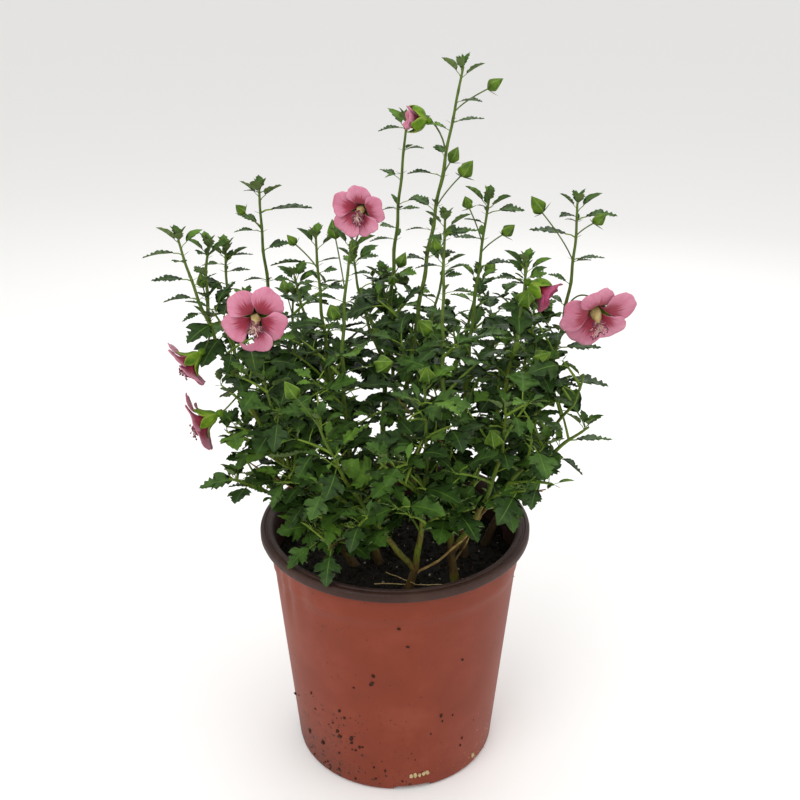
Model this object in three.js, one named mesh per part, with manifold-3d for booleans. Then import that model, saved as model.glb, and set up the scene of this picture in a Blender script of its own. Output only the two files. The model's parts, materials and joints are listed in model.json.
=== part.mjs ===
// A potted cape mallow in bloom: slender shoots rise from the soil of a round nursery pot and
// carry three-lobed leaves, pointed buds and pink five-petalled flowers.
// Millimetres, +Z up, +X to the plant's right. The origin is the centre of the pot's underside.
import * as THREE from 'three';
import { mergeVertices } from 'three/addons/utils/BufferGeometryUtils.js';
import Module from 'manifold-3d';

const wasm = await Module();
wasm.setup();

const clearance = 0.3; // gap between pieces that meet
const finestEdge = 0.1; // shorter edges are merged
const goldenAngle = THREE.MathUtils.degToRad(137.5); // turn from one leaf to the next
const up = new THREE.Vector3(0, 0, 1);

const pot = {
  height: 162,
  rimRadius: 85,
  rimHeight: 5.6,
  neckRadius: 78,
  shoulderDrop: 20, // from the rim's underside down to the faint step
  shoulderStep: 0.8,
  baseRadius: 65.8,
  wall: 1.4,
  floor: 2,
  facets: 40,
  holes: { count: 6, radius: 6, ring: 42 },
  notches: { count: 4, width: 24, height: 3.6, depth: 9, firstAngle: -80 },
};

const soil = { height: 140, crown: 2, facets: 32 };

const twig = {
  sides: 3,
  step: 30, // length of a straight step along a shoot
  axisRadius: 1.7,
  forkRadius: 1.3,
  tipRadius: 0.75,
  sideRadius: 0.9,
  stalkRadius: 0.6,
  margin: 1.6, // clearance of a side twig from the next shoot's space
};

const leaf = {
  lobeAlong: 0.46,
  lobeOut: 0.4,
  notchAlong: 0.66,
  notchOut: 0.2,
  thickness: 1.1, // where the stalk meets the blade
  thickest: 0.16,
  sink: 0.7, // how far the foot runs past its twig's middle
  margin: 0.8, // clearance of a leaf from the next shoot's space
};

const growth = {
  lowLeaf: 35, // leaf length with its stalk in the bushy part
  highLeaf: 15, // and at a shoot's tip
  bushTop: 312, // height where the bushy part ends
  lowStep: 11.5, // spacing of leaves along a shoot
  highStep: 16,
  sideTwig: 32,
  sideStep: 11,
};

// Stems: where each one leaves the soil, the tip its line runs to, how far the line bows out at
// its middle, and the height where its foliage starts.
const stems = [
  { name: 'tall', foot: [-5, 15], tip: [37, 4, 437], bow: [-4, 0, -3], leafFrom: 226 },
  { name: 'high', foot: [-11, 44], tip: [7, 25, 405], bow: [-2, 2, 3], leafFrom: 222 },
  { name: 'left_mid', foot: [-37, 34], tip: [-76, 8, 370], bow: [-12, 4, 0], leafFrom: 204 },
  { name: 'left', foot: [-23, -18], tip: [-118, -20, 349], bow: [-14, -8, 12], leafFrom: 192 },
  { name: 'slim', foot: [-12, 1], tip: [-44, -5, 346], bow: [-7, 4, -8], leafFrom: 212 },
  { name: 'inner', foot: [-9, -15], tip: [-23, -22, 349], bow: [-12, -12, 4], leafFrom: 200 },
  { name: 'middle', foot: [37, -36], tip: [28, -12, 359], bow: [-4, -10, -4], leafFrom: 196 },
  { name: 'right_mid', foot: [44, -8], tip: [54, 12, 365], bow: [-6, 2, -8], leafFrom: 206 },
  { name: 'right', foot: [57, 6], tip: [103, 5, 363], bow: [14, 0, 12], leafFrom: 196 },
  { name: 'front', foot: [8, -43], tip: [16, -62, 284], bow: [5, -6, -4], leafFrom: 184 },
  { name: 'back', foot: [16, 60], tip: [-8, 84, 298], bow: [-4, 8, 0], leafFrom: 190 },
];

// Boughs: the stem each one forks from and the height of the fork, then as for the stems.
const boughs = [
  { name: 'back_left', stem: 'left_mid', fork: 168, tip: [-66, 68, 288], bow: [-6, 4, 6], leafFrom: 190 },
  { name: 'low_left', stem: 'left', fork: 160, tip: [-98, -30, 207], bow: [4, -2, 5], leafFrom: 178 },
  { name: 'front_left', stem: 'front', fork: 156, tip: [-42, -66, 262], bow: [-6, -6, 4], leafFrom: 180 },
  { name: 'front_right', stem: 'middle', fork: 160, tip: [60, -64, 268], bow: [8, -6, 4], leafFrom: 182 },
  { name: 'right_inner', stem: 'right_mid', fork: 172, tip: [74, -14, 334], bow: [5, -12, 4], leafFrom: 206 },
  { name: 'low_right', stem: 'right', fork: 176, tip: [117, -8, 230], bow: [2, -8, 10], leafFrom: 192 },
  { name: 'back_right', stem: 'back', fork: 164, tip: [54, 74, 300], bow: [8, 6, 2], leafFrom: 190 },
  { name: 'far_right', stem: 'right', fork: 166, tip: [88, 50, 284], bow: [2, 10, 6], leafFrom: 190 },
  { name: 'low_front', stem: 'inner', fork: 152, tip: [-46, -50, 196], bow: [-2, -8, 2], leafFrom: 162 },
];

// Second shoots that fork off inside a foliage mass.
const forks = [
  { mass: 'left', height: 262, tip: [-97, 6, 336], bow: [-3, 6, -4] },
  { mass: 'left', height: 206, tip: [-72, -46, 276], bow: [2, -8, 0] },
  { mass: 'left_mid', height: 224, tip: [-92, 38, 296], bow: [-4, 6, 0] },
  { mass: 'slim', height: 250, tip: [-60, 26, 314], bow: [-3, 6, 0] },
  { mass: 'high', height: 250, tip: [-26, 60, 318], bow: [-4, 4, 0] },
  { mass: 'tall', height: 250, tip: [30, 38, 322], bow: [4, 4, 0] },
  { mass: 'right', height: 250, tip: [78, 26, 318], bow: [-2, 5, 0] },
  { mass: 'right', height: 212, tip: [106, -36, 276], bow: [6, -8, 2] },
  { mass: 'front_left', height: 196, tip: [-72, -52, 234], bow: [-2, -4, 4] },
  { mass: 'front_right', height: 200, tip: [86, -46, 238], bow: [2, -6, 4] },
  { mass: 'front', height: 210, tip: [-8, -84, 246], bow: [-2, -6, 4] },
  { mass: 'back_left', height: 206, tip: [-92, 48, 250], bow: [-4, 2, 4] },
  { mass: 'back', height: 216, tip: [12, 100, 256], bow: [2, 4, 4] },
  { mass: 'back_right', height: 210, tip: [82, 72, 254], bow: [4, 4, 4] },
];

const deadTwigs = [
  { name: 'dead_twig_front', stem: 'front', fork: 152, tip: [50, -56, 196], bow: [2, -3, -2], radius: 0.9 },
  { name: 'dead_twig_left', stem: 'left', fork: 168, tip: [-72, 4, 212], bow: [-2, 6, 4], radius: 0.9 },
];

// Flowers: centre, the way each one faces, width across the petals, how far it has opened, and
// the height on its shoot where its stalk springs.
const flowers = [
  { mass: 'left', centre: [-74, -50, 314], faces: [0.05, -0.98, 0.02], width: 38, open: 1, node: 286 },
  { mass: 'inner', centre: [-18, -36, 369], faces: [-0.3, -0.92, -0.1], width: 31, open: 0.9, node: 338 },
  { mass: 'right', centre: [113, -22, 308], faces: [0.15, -0.9, -0.4], width: 44, open: 1, node: 300 },
  { mass: 'left', centre: [-113, -40, 285], faces: [-0.75, -0.3, -0.6], width: 32, open: 0.9, node: 268 },
  { mass: 'left', centre: [-106, -50, 254], faces: [-0.86, -0.35, -0.2], width: 36, open: 0.9, node: 246 },
  { mass: 'tall', centre: [13, 3, 412], faces: [-0.95, -0.2, 0.25], width: 16, open: 0.35, node: 384 },
  { mass: 'right', centre: [85, -20, 317], faces: [0.8, -0.35, -0.5], width: 20, open: 0.4, node: 280 },
];

// Buds: where each one's middle is and how far down its shoot the stalk springs.
const buds = [
  { mass: 'tall', centre: [54, 8, 427], drop: 14 },
  { mass: 'tall', centre: [33, 12, 388], drop: 12 },
  { mass: 'tall', centre: [39, -6, 384], drop: 24 },
  { mass: 'right_mid', centre: [41, 0, 364], drop: 26 },
  { mass: 'right_mid', centre: [64, 2, 348], drop: 15 },
  { mass: 'right', centre: [80, -2, 363], drop: 34 },
  { mass: 'right', centre: [114, -4, 356], drop: 12 },
  { mass: 'left_mid', centre: [-86, 2, 360], drop: 14 },
  { mass: 'slim', centre: [-57, -8, 345], drop: 18 },
  { mass: 'inner', centre: [-33, -14, 352], drop: 32 },
  { mass: 'high', centre: [-1, 12, 316], drop: 14 },
  { mass: 'middle', centre: [23, -24, 347], drop: 12 },
  { mass: 'middle', centre: [17, -40, 305], drop: 16 },
  { mass: 'front', centre: [17, -72, 290], drop: 16 },
  { mass: 'inner', centre: [-6, -54, 289], drop: 16 },
  { mass: 'right_inner', centre: [72, -30, 318], drop: 14 },
  { mass: 'right_inner', centre: [82, -32, 284], drop: 16 },
  { mass: 'front_right', centre: [54, -70, 252], drop: 16 },
  { mass: 'inner', centre: [-33, -38, 313], drop: 16 },
  { mass: 'front_left', centre: [-54, -70, 280], drop: 26 },
  { mass: 'left', centre: [-108, -14, 323], drop: 14 },
  { mass: 'back', centre: [4, 92, 304], drop: 22 },
  { mass: 'back_left', centre: [-72, 78, 290], drop: 16 },
  { mass: 'back_right', centre: [62, 84, 302], drop: 16 },
  { mass: 'far_right', centre: [97, 58, 282], drop: 14 },
];

const vector = (xyz) => new THREE.Vector3(...xyz);

// A number from 0 to 1 that is the same on every run for the same seed.
function seeded(seed) {
  let state = seed >>> 0;
  return () => {
    state = (Math.imul(state, 1664525) + 1013904223) >>> 0;
    return state / 4294967296;
  };
}

function toSolid(geometry) {
  geometry.deleteAttribute('normal');
  geometry.deleteAttribute('uv');
  const merged = mergeVertices(geometry, 1e-4);
  return new wasm.Manifold(new wasm.Mesh({
    numProp: 3,
    vertProperties: new Float32Array(merged.attributes.position.array),
    triVerts: new Uint32Array(merged.index.array),
  }));
}

function toGeometry(solid) {
  const mesh = solid.getMesh();
  const geometry = new THREE.BufferGeometry();
  geometry.setAttribute('position', new THREE.BufferAttribute(mesh.vertProperties, 3));
  geometry.setIndex(new THREE.BufferAttribute(mesh.triVerts, 1));
  geometry.computeVertexNormals();
  return geometry;
}

function facesToGeometry(points, faces) {
  const geometry = new THREE.BufferGeometry();
  const position = points.flatMap((point) => point.toArray());
  geometry.setAttribute('position', new THREE.Float32BufferAttribute(position, 3));
  geometry.setIndex(faces.flat());
  return geometry;
}

const fuse = (solids) => solids.reduce((whole, piece) => whole.add(piece));

// The largest body of a solid that cutting may have left in pieces.
function largestBody(solid) {
  const bodies = solid.decompose();
  return bodies.reduce((best, body) => (body.volume() > best.volume() ? body : best));
}

// A line from start to end that bows out by the given amount at its middle.
function bowedLine(start, end, bow) {
  const middle = start.clone().lerp(end, 0.5).addScaledVector(vector(bow), 2);
  return new THREE.QuadraticBezierCurve3(start, middle, end);
}

// The share of a rising curve at which it reaches a height.
function shareAtHeight(curve, height) {
  let low = 0;
  let high = 1;
  for (let i = 0; i < 30; i += 1) {
    const middle = (low + high) / 2;
    if (curve.getPoint(middle).z < height) low = middle;
    else high = middle;
  }
  return low;
}

// A closed tube along part of a curve, whose radius follows a function of the share 0 to 1.
function sweep(curve, from, to, radiusAt, steps, sides) {
  const points = [];
  const faces = [];
  let side = null;
  for (let i = 0; i <= steps; i += 1) {
    const share = i / steps;
    const along = THREE.MathUtils.lerp(from, to, share);
    const centre = curve.getPoint(along);
    const forward = curve.getTangent(along);
    side = side ?? new THREE.Vector3(0, 1, 0).cross(forward);
    side.addScaledVector(forward, -side.dot(forward)).normalize();
    const other = forward.clone().cross(side);
    for (let j = 0; j < sides; j += 1) {
      const angle = (2 * Math.PI * j) / sides;
      const radius = radiusAt(share);
      points.push(centre.clone()
        .addScaledVector(side, radius * Math.cos(angle))
        .addScaledVector(other, radius * Math.sin(angle)));
    }
  }
  for (let i = 0; i < steps; i += 1) {
    for (let j = 0; j < sides; j += 1) {
      const next = (j + 1) % sides;
      const [a, b] = [i * sides + j, i * sides + next];
      faces.push([a, b, b + sides], [a, b + sides, a + sides]);
    }
  }
  const last = steps * sides;
  for (let j = 1; j < sides - 1; j += 1) {
    faces.push([0, j + 1, j], [last, last + j, last + j + 1]);
  }
  return toSolid(facesToGeometry(points, faces));
}

function makePot() {
  const shoulder = pot.height - pot.rimHeight - pot.shoulderDrop;
  const slope = (pot.neckRadius - pot.shoulderStep - pot.baseRadius) / shoulder;
  const underRim = pot.height - pot.rimHeight;
  const profile = [
    [0, 0],
    [pot.baseRadius - 1.6, 0],
    [pot.baseRadius, 1.6],
    [pot.baseRadius + slope * shoulder, shoulder],
    [pot.neckRadius, shoulder + 1.2],
    [pot.neckRadius + 0.6, underRim],
    [pot.rimRadius - 0.8, underRim],
    [pot.rimRadius, underRim + 0.8],
    [pot.rimRadius, pot.height - 1.6],
    [pot.rimRadius - 1.6, pot.height],
    [pot.neckRadius + 0.4, pot.height],
    [pot.neckRadius - pot.wall, pot.height - 2],
    [pot.baseRadius - pot.wall, pot.floor],
    [0, pot.floor],
  ];
  const outline = profile.map(([radius, height]) => new THREE.Vector2(radius, height));
  const lathe = new THREE.LatheGeometry(outline, pot.facets).rotateX(Math.PI / 2);
  let body = toSolid(lathe);
  const { holes, notches } = pot;
  for (let i = 0; i < holes.count; i += 1) {
    const angle = (2 * Math.PI * i) / holes.count;
    const hole = new THREE.CylinderGeometry(holes.radius, holes.radius, 4 * pot.floor, 12);
    hole.rotateX(Math.PI / 2).translate(holes.ring * Math.cos(angle), holes.ring * Math.sin(angle), 0);
    body = body.subtract(toSolid(hole));
  }
  for (let i = 0; i < notches.count; i += 1) {
    const angle = THREE.MathUtils.degToRad(notches.firstAngle + (360 * i) / notches.count);
    const notch = new THREE.BoxGeometry(notches.depth, notches.width, 2 * notches.height);
    notch.translate(pot.baseRadius, 0, 0).rotateZ(angle);
    body = body.subtract(toSolid(notch));
  }
  return body;
}

function innerRadius(height) {
  const low = pot.baseRadius - pot.wall;
  const share = (height - pot.floor) / (pot.height - 2 - pot.floor);
  return THREE.MathUtils.lerp(low, pot.neckRadius - pot.wall, share);
}

function makeSoil() {
  const bottom = pot.floor + clearance;
  const profile = [
    [0, bottom],
    [innerRadius(bottom) - 1.5 * clearance, bottom],
    [innerRadius(soil.height) - 1.5 * clearance, soil.height - soil.crown],
    [pot.baseRadius, soil.height],
    [0, soil.height],
  ];
  const outline = profile.map(([radius, height]) => new THREE.Vector2(radius, height));
  return toSolid(new THREE.LatheGeometry(outline, soil.facets).rotateX(Math.PI / 2));
}

// Limbs: each one keeps its curve and radius, so that others can be cut clear of it.
const stemRadius = (share) => 2.7 - 0.9 * share + 1.4 * Math.exp(-share * 14);
const boughRadius = (share) => 1.9 - 0.4 * share;

function plantStem(stem) {
  const foot = new THREE.Vector3(...stem.foot, soil.height + clearance);
  const curve = bowedLine(foot, vector(stem.tip), stem.bow);
  const to = shareAtHeight(curve, stem.leafFrom);
  return { ...stem, curve, from: 0, to, radiusAt: stemRadius, steps: 5, sides: 6 };
}

function forkBough(bough, limbs) {
  const parent = limbs.find((limb) => limb.name === bough.stem);
  const start = parent.curve.getPoint(shareAtHeight(parent.curve, bough.fork));
  const curve = bowedLine(start, vector(bough.tip), bough.bow);
  const to = bough.leafFrom ? shareAtHeight(curve, bough.leafFrom) : 1;
  const thin = bough.radius ?? 0;
  const radiusAt = thin ? (share) => thin * (1 - 0.5 * share) : boughRadius;
  return { ...bough, curve, from: 0, to, radiusAt, steps: 3, sides: thin ? 4 : 6 };
}

function limbSolid(limb, extra = 0) {
  const radiusAt = (share) => limb.radiusAt(share) + extra;
  return sweep(limb.curve, limb.from, limb.to, radiusAt, limb.steps, limb.sides);
}

// A stem's foot is cut flat where it meets the soil.
function cutFlat(solid) {
  const slab = new THREE.BoxGeometry(400, 400, 20).translate(0, 0, soil.height + clearance - 10);
  return solid.subtract(toSolid(slab));
}

function makeLimbs() {
  const limbs = stems.map(plantStem);
  for (const bough of [...boughs, ...deadTwigs]) limbs.push(forkBough(bough, limbs));
  for (const limb of limbs) {
    let solid = limbSolid(limb);
    if (!limb.stem) solid = cutFlat(solid);
    for (const other of limbs.slice(0, limbs.indexOf(limb))) {
      solid = solid.subtract(limbSolid(other, clearance + 0.1));
    }
    limb.solid = largestBody(solid);
  }
  return limbs;
}

// Points along a curve, for telling which shoot a place is nearest to.
function pointsAlong(curve, from, to, spacing) {
  const count = Math.max(2, Math.ceil((curve.getLength() * (to - from)) / spacing));
  return Array.from({ length: count + 1 }, (_, i) => curve.getPoint(from + ((to - from) * i) / count));
}

// A shoot inside a mass: part of a curve, drawn as straight steps.
function shootAxis(curve, from, radius) {
  const length = curve.getLength() * (1 - from);
  return { curve, from, radius, length, steps: Math.max(2, Math.round(length / twig.step)) };
}

// A place on a shoot's straight steps, at a share of its length.
function onAxis({ curve, from, steps }, share) {
  const step = Math.min(steps - 1, Math.floor(share * steps));
  const corner = (i) => curve.getPoint(THREE.MathUtils.lerp(from, 1, i / steps));
  return corner(step).lerp(corner(step + 1), share * steps - step);
}

function onAxisAtHeight(axis, height) {
  const along = (shareAtHeight(axis.curve, height) - axis.from) / (1 - axis.from);
  return onAxis(axis, THREE.MathUtils.clamp(along, 0.01, 0.98));
}

// A foliage mass before its leaves: the axes of its shoots, and its flowers and buds on stalks.
function planMass(limb) {
  const gapShare = clearance / limb.curve.getLength();
  const axes = [shootAxis(limb.curve, limb.to + 2 * gapShare, twig.axisRadius)];
  for (const fork of forks.filter((item) => item.mass === limb.name)) {
    const start = onAxisAtHeight(axes[0], fork.height);
    axes.push(shootAxis(bowedLine(start, vector(fork.tip), fork.bow), 0, twig.forkRadius));
  }
  const mass = { name: limb.name, limb, axes, stalks: [] };
  for (const flower of flowers.filter((item) => item.mass === limb.name)) {
    mass.stalks.push(planStalk(mass, flower, flower.node));
  }
  for (const bud of buds.filter((item) => item.mass === limb.name)) {
    mass.stalks.push(planStalk(mass, bud, bud.centre[2] - bud.drop));
  }
  mass.skeleton = axes.flatMap((axis) => pointsAlong(axis.curve, axis.from, 1, 5));
  for (const stalk of mass.stalks) mass.skeleton.push(...stalkPoints(stalk));
  return mass;
}

// A stalk leaves the nearest shoot at a given height, rises, and nods over to its flower.
function planStalk(mass, item, nodeHeight) {
  const centre = vector(item.centre);
  const starts = mass.axes.map((axis) => onAxisAtHeight(axis, nodeHeight));
  const start = starts.reduce((best, point) => (
    point.distanceTo(centre) < best.distanceTo(centre) ? point : best));
  const facing = item.faces ? vector(item.faces).normalize() : centre.clone().sub(start).normalize();
  const back = item.faces ? 0.2 * item.width + 4 : 3;
  const end = centre.clone().addScaledVector(facing, -back);
  const middle = start.clone().lerp(end, 0.55).addScaledVector(facing, -0.3 * start.distanceTo(end));
  middle.z += 0.12 * start.distanceTo(end);
  return { item, centre, facing, curve: new THREE.QuadraticBezierCurve3(start, middle, end) };
}

function stalkPoints({ item, centre, facing, curve }) {
  const points = pointsAlong(curve, 0.25, 1, 4);
  points.push(centre);
  if (!item.faces) return points;
  const { across, beside } = planeOf(facing);
  const radius = (item.width / 2) * Math.max(item.open, 0.6);
  for (let i = 0; i < 12; i += 1) {
    const angle = (2 * Math.PI * i) / 12;
    for (const share of [0.5, 1]) {
      points.push(centre.clone()
        .addScaledVector(across, share * radius * Math.cos(angle))
        .addScaledVector(beside, share * radius * Math.sin(angle)));
    }
  }
  return points;
}

function planeOf(normal) {
  const helper = Math.abs(normal.z) > 0.9 ? new THREE.Vector3(1, 0, 0) : up;
  const across = helper.clone().cross(normal).normalize();
  return { across, beside: normal.clone().cross(across) };
}

// A leaf: a thin plate of three pointed lobes on a wedge-shaped foot.
function leafPoints(root, forward, flat, length) {
  const across = flat.clone().cross(forward);
  const place = (along, out, rise) => root.clone()
    .addScaledVector(forward, along * length)
    .addScaledVector(across, out * length)
    .addScaledVector(flat, rise);
  const outline = [
    place(0, 0, 0),
    place(leaf.lobeAlong, -leaf.lobeOut, 0),
    place(leaf.notchAlong, -leaf.notchOut, 0),
    place(1, 0, 0),
    place(leaf.notchAlong, leaf.notchOut, 0),
    place(leaf.lobeAlong, leaf.lobeOut, 0),
  ];
  outline[0].addScaledVector(forward, -leaf.sink);
  return { outline, top: place(leaf.thickest, 0, leaf.thickness) };
}

// A plate that is flat below and ridged above, thickest at its stalk.
function leafSolid({ outline, top }) {
  const faces = outline.map((_, i) => [i, (i + 1) % outline.length, outline.length]);
  for (let i = 1; i < outline.length - 1; i += 1) faces.push([0, i + 1, i]);
  return toSolid(facesToGeometry([...outline, top], faces));
}

function discSolid(outline, top, bottom) {
  const count = outline.length;
  const faces = outline.flatMap((_, i) => [
    [i, (i + 1) % count, count],
    [(i + 1) % count, i, count + 1],
  ]);
  return toSolid(facesToGeometry([...outline, top, bottom], faces));
}

function spindle(start, end, widestShare, radius, sides) {
  const normal = end.clone().sub(start).normalize();
  const { across, beside } = planeOf(normal);
  const ring = Array.from({ length: sides }, (_, i) => start.clone().lerp(end, widestShare)
    .addScaledVector(across, radius * Math.cos((2 * Math.PI * i) / sides))
    .addScaledVector(beside, radius * Math.sin((2 * Math.PI * i) / sides)));
  return discSolid(ring, end, start);
}

function budSolid({ centre, facing }) {
  const length = 10;
  const start = centre.clone().addScaledVector(facing, -0.45 * length);
  return spindle(start, start.clone().addScaledVector(facing, length), 0.4, 3.7, 5);
}

// A flower: five rounded petals in a shallow funnel, a calyx behind and a column in front.
function flowerSolid({ item, centre, facing }) {
  const { across, beside } = planeOf(facing);
  const radius = item.width / 2;
  const depth = radius * (0.3 + 0.9 * (1 - item.open));
  const petalShape = [[-22, 0.97], [22, 0.97], [36, 0.66]];
  const outline = [];
  for (let petal = 0; petal < 5; petal += 1) {
    for (const [turn, reach] of petalShape) {
      const angle = THREE.MathUtils.degToRad(90 + 72 * petal + turn);
      outline.push(centre.clone()
        .addScaledVector(across, reach * radius * Math.cos(angle))
        .addScaledVector(beside, reach * radius * Math.sin(angle))
        .addScaledVector(facing, 0.15 * depth));
    }
  }
  const throat = centre.clone().addScaledVector(facing, -depth);
  const back = throat.clone().addScaledVector(facing, -1.4);
  const calyx = spindle(throat.clone().addScaledVector(facing, -7), centre, 0.55, 0.2 * radius + 2, 5);
  const solids = [discSolid(outline, throat, back), calyx];
  if (item.open > 0.5) {
    solids.push(spindle(back, throat.clone().addScaledVector(facing, 0.55 * item.width), 0.6, 1.6, 4));
  }
  return fuse(solids);
}

// Whether every point keeps to the mass's own space, clear of the pot and the soil.
function keepsClear(points, { mass, masses }, margin) {
  return points.every((point) => {
    const own = Math.min(...mass.skeleton.map((other) => other.distanceTo(point)));
    const next = Math.min(...masses.filter((other) => other !== mass)
      .map((other) => Math.min(...other.skeleton.map((spot) => spot.distanceTo(point)))));
    if (own + margin > next) return false;
    if (point.z < soil.height + 3) return false;
    return point.z > pot.height + 3 || Math.hypot(point.x, point.y) < pot.neckRadius - 6;
  });
}

// Whether a solid cuts into one of the others.
function cutsInto(solid, others) {
  const box = solid.boundingBox();
  return others.some((other) => {
    const far = other.boundingBox();
    const apart = [0, 1, 2].some((axis) => box.min[axis] > far.max[axis] || box.max[axis] < far.min[axis]);
    return !apart && solid.intersect(other).volume() > 0;
  });
}

function tryLeaf(grown, host, root, forward, flat, length, room) {
  for (const scale of [1, 0.8, 0.6]) {
    const { outline, top } = leafPoints(root, forward, flat, scale * length);
    const edges = outline.map((point, i) => point.clone().lerp(outline[(i + 1) % outline.length], 0.5));
    const probes = [...outline.slice(1), ...edges.slice(1, -1), top, top.clone().lerp(outline[3], 0.5)];
    if (!keepsClear(probes, room, leaf.margin)) continue;
    const solid = leafSolid({ outline, top });
    const rest = grown.solids.filter((other) => other !== host);
    if ([grown.blades, rest, room.shields].some((others) => cutsInto(solid, others))) continue;
    grown.blades.push(solid);
    return true;
  }
  return false;
}

// The leaf's heading: outwards from its twig, a little up or down, its blade near level.
function leafHeading(tangent, angle, lift, roll) {
  const { across, beside } = planeOf(tangent);
  const out = across.multiplyScalar(Math.cos(angle)).addScaledVector(beside, Math.sin(angle));
  out.z *= 0.5;
  const forward = out.normalize().addScaledVector(up, lift).addScaledVector(tangent, 0.25).normalize();
  const flat = up.clone().addScaledVector(forward, -up.dot(forward)).normalize();
  return { forward, flat: flat.applyAxisAngle(forward, roll) };
}

function growTwig(grown, start, direction, length, dice, room) {
  const end = start.clone().addScaledVector(direction, length);
  const curve = new THREE.LineCurve3(start, end);
  const probes = pointsAlong(curve, 0.3, 1, 6);
  if (!keepsClear(probes, room, twig.margin)) return false;
  const radiusAt = (share) => THREE.MathUtils.lerp(twig.sideRadius, 0.6 * twig.sideRadius, share);
  const host = sweep(curve, 0, 1, radiusAt, 1, twig.sides);
  if (cutsInto(host, grown.blades) || cutsInto(host, room.shields)) return false;
  grown.solids.push(host);
  let angle = 6 * dice();
  for (let run = 0.35 * length; run < length - 2; run += growth.sideStep) {
    const share = run / length;
    const heading = leafHeading(direction, angle, 0.5 * dice() - 0.3, 0.9 * dice() - 0.45);
    const size = growth.lowLeaf * (0.75 + 0.3 * dice());
    tryLeaf(grown, host, curve.getPoint(share), heading.forward, heading.flat, size, room);
    angle += Math.PI + 0.9 * (dice() - 0.5);
  }
  const last = leafHeading(up, Math.atan2(direction.y, direction.x), 0.1, 0.5 * dice() - 0.25);
  tryLeaf(grown, host, curve.getPoint(0.97), last.forward, last.flat, 0.8 * growth.lowLeaf, room);
  return true;
}

// Leaves and side twigs along one axis of a mass, turning by the golden angle at each node.
function growAxis(grown, axis, dice, room) {
  const { curve, from, length } = axis;
  const radiusAt = (share) => THREE.MathUtils.lerp(axis.radius, twig.tipRadius, share);
  const host = sweep(curve, from, 1, radiusAt, axis.steps, twig.sides);
  grown.solids.push(host);
  let angle = 6.28 * dice();
  let run = 5;
  let node = 0;
  while (run < length - 4) {
    const share = run / length;
    const root = onAxis(axis, share);
    const tangent = curve.getTangent(THREE.MathUtils.lerp(from, 1, share));
    const bushy = root.z < growth.bushTop - 12 * dice();
    const size = bushy ? growth.lowLeaf : THREE.MathUtils.lerp(0.8 * growth.lowLeaf, growth.highLeaf, share);
    const leafLength = size * (0.85 + 0.25 * dice());
    const twigLength = growth.sideTwig * (1.1 - 0.5 * share) * (0.8 + 0.4 * dice());
    let placed = false;
    for (let turn = 0; turn < 3 && !placed; turn += 1) {
      const lift = bushy ? 0.35 * dice() - 0.2 : 0.15 * dice();
      const { forward, flat } = leafHeading(tangent, angle + 1.1 * turn, lift, 0.5 * dice() - 0.25);
      const rising = forward.clone().addScaledVector(up, 0.55).normalize();
      if (bushy && node % 2 === 0) placed = growTwig(grown, root, rising, twigLength, dice, room);
      if (!placed) placed = tryLeaf(grown, host, root, forward, flat, leafLength, room);
    }
    angle += goldenAngle;
    node += 1;
    run += bushy ? growth.lowStep : growth.highStep;
  }
  for (let i = 0; i < 3; i += 1) {
    const { forward, flat } = leafHeading(up, angle + (2 * Math.PI * i) / 3, 0.35, 0);
    tryLeaf(grown, host, onAxis(axis, 1 - (1 + 3 * i) / length), forward, flat, growth.highLeaf, room);
  }
}

function makeMass(mass, masses, shields, seed) {
  const dice = seeded(seed);
  const grown = { solids: [], blades: [] };
  const room = { mass, masses, shields };
  for (const stalk of mass.stalks) {
    grown.solids.push(sweep(stalk.curve, 0, 1, () => twig.stalkRadius, 2, 3));
    grown.blades.push(stalk.item.faces ? flowerSolid(stalk) : budSolid(stalk));
  }
  for (const axis of mass.axes) growAxis(grown, axis, dice, room);
  const whole = fuse([...grown.solids, ...grown.blades]).asOriginal().simplify(finestEdge);
  return largestBody(whole);
}

const finishes = {
  pot: new THREE.MeshStandardMaterial({ color: '#8a4a39', roughness: 0.6, metalness: 0 }),
  soil: new THREE.MeshStandardMaterial({ color: '#24221d', roughness: 1, metalness: 0 }),
  stem: new THREE.MeshStandardMaterial({ color: '#5c5a30', roughness: 0.8, metalness: 0 }),
  deadWood: new THREE.MeshStandardMaterial({ color: '#45372a', roughness: 0.9, metalness: 0 }),
  foliage: new THREE.MeshStandardMaterial({ color: '#3f5c28', roughness: 0.6, metalness: 0 }),
};

const plant = new THREE.Group();

function addPiece(name, solid, finish) {
  const mesh = new THREE.Mesh(toGeometry(solid), finish.clone());
  mesh.name = name;
  plant.add(mesh);
}

addPiece('pot', makePot(), finishes.pot);
addPiece('soil', makeSoil(), finishes.soil);

const limbs = makeLimbs();
for (const limb of limbs) {
  if (limb.radius) addPiece(limb.name, limb.solid, finishes.deadWood);
  else addPiece(`${limb.stem ? 'bough' : 'stem'}_${limb.name}`, limb.solid, finishes.stem);
}

const masses = limbs.filter((limb) => limb.leafFrom).map(planMass);
const shields = limbs.map((limb) => limbSolid(limb, 2 * clearance));
masses.forEach((mass, i) => {
  addPiece(`foliage_${mass.name}`, makeMass(mass, masses, shields, 101 + 7 * i), finishes.foliage);
});

export default plant;
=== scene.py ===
import json
import math

import bmesh
import bpy
from mathutils import Matrix, Vector, noise

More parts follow.
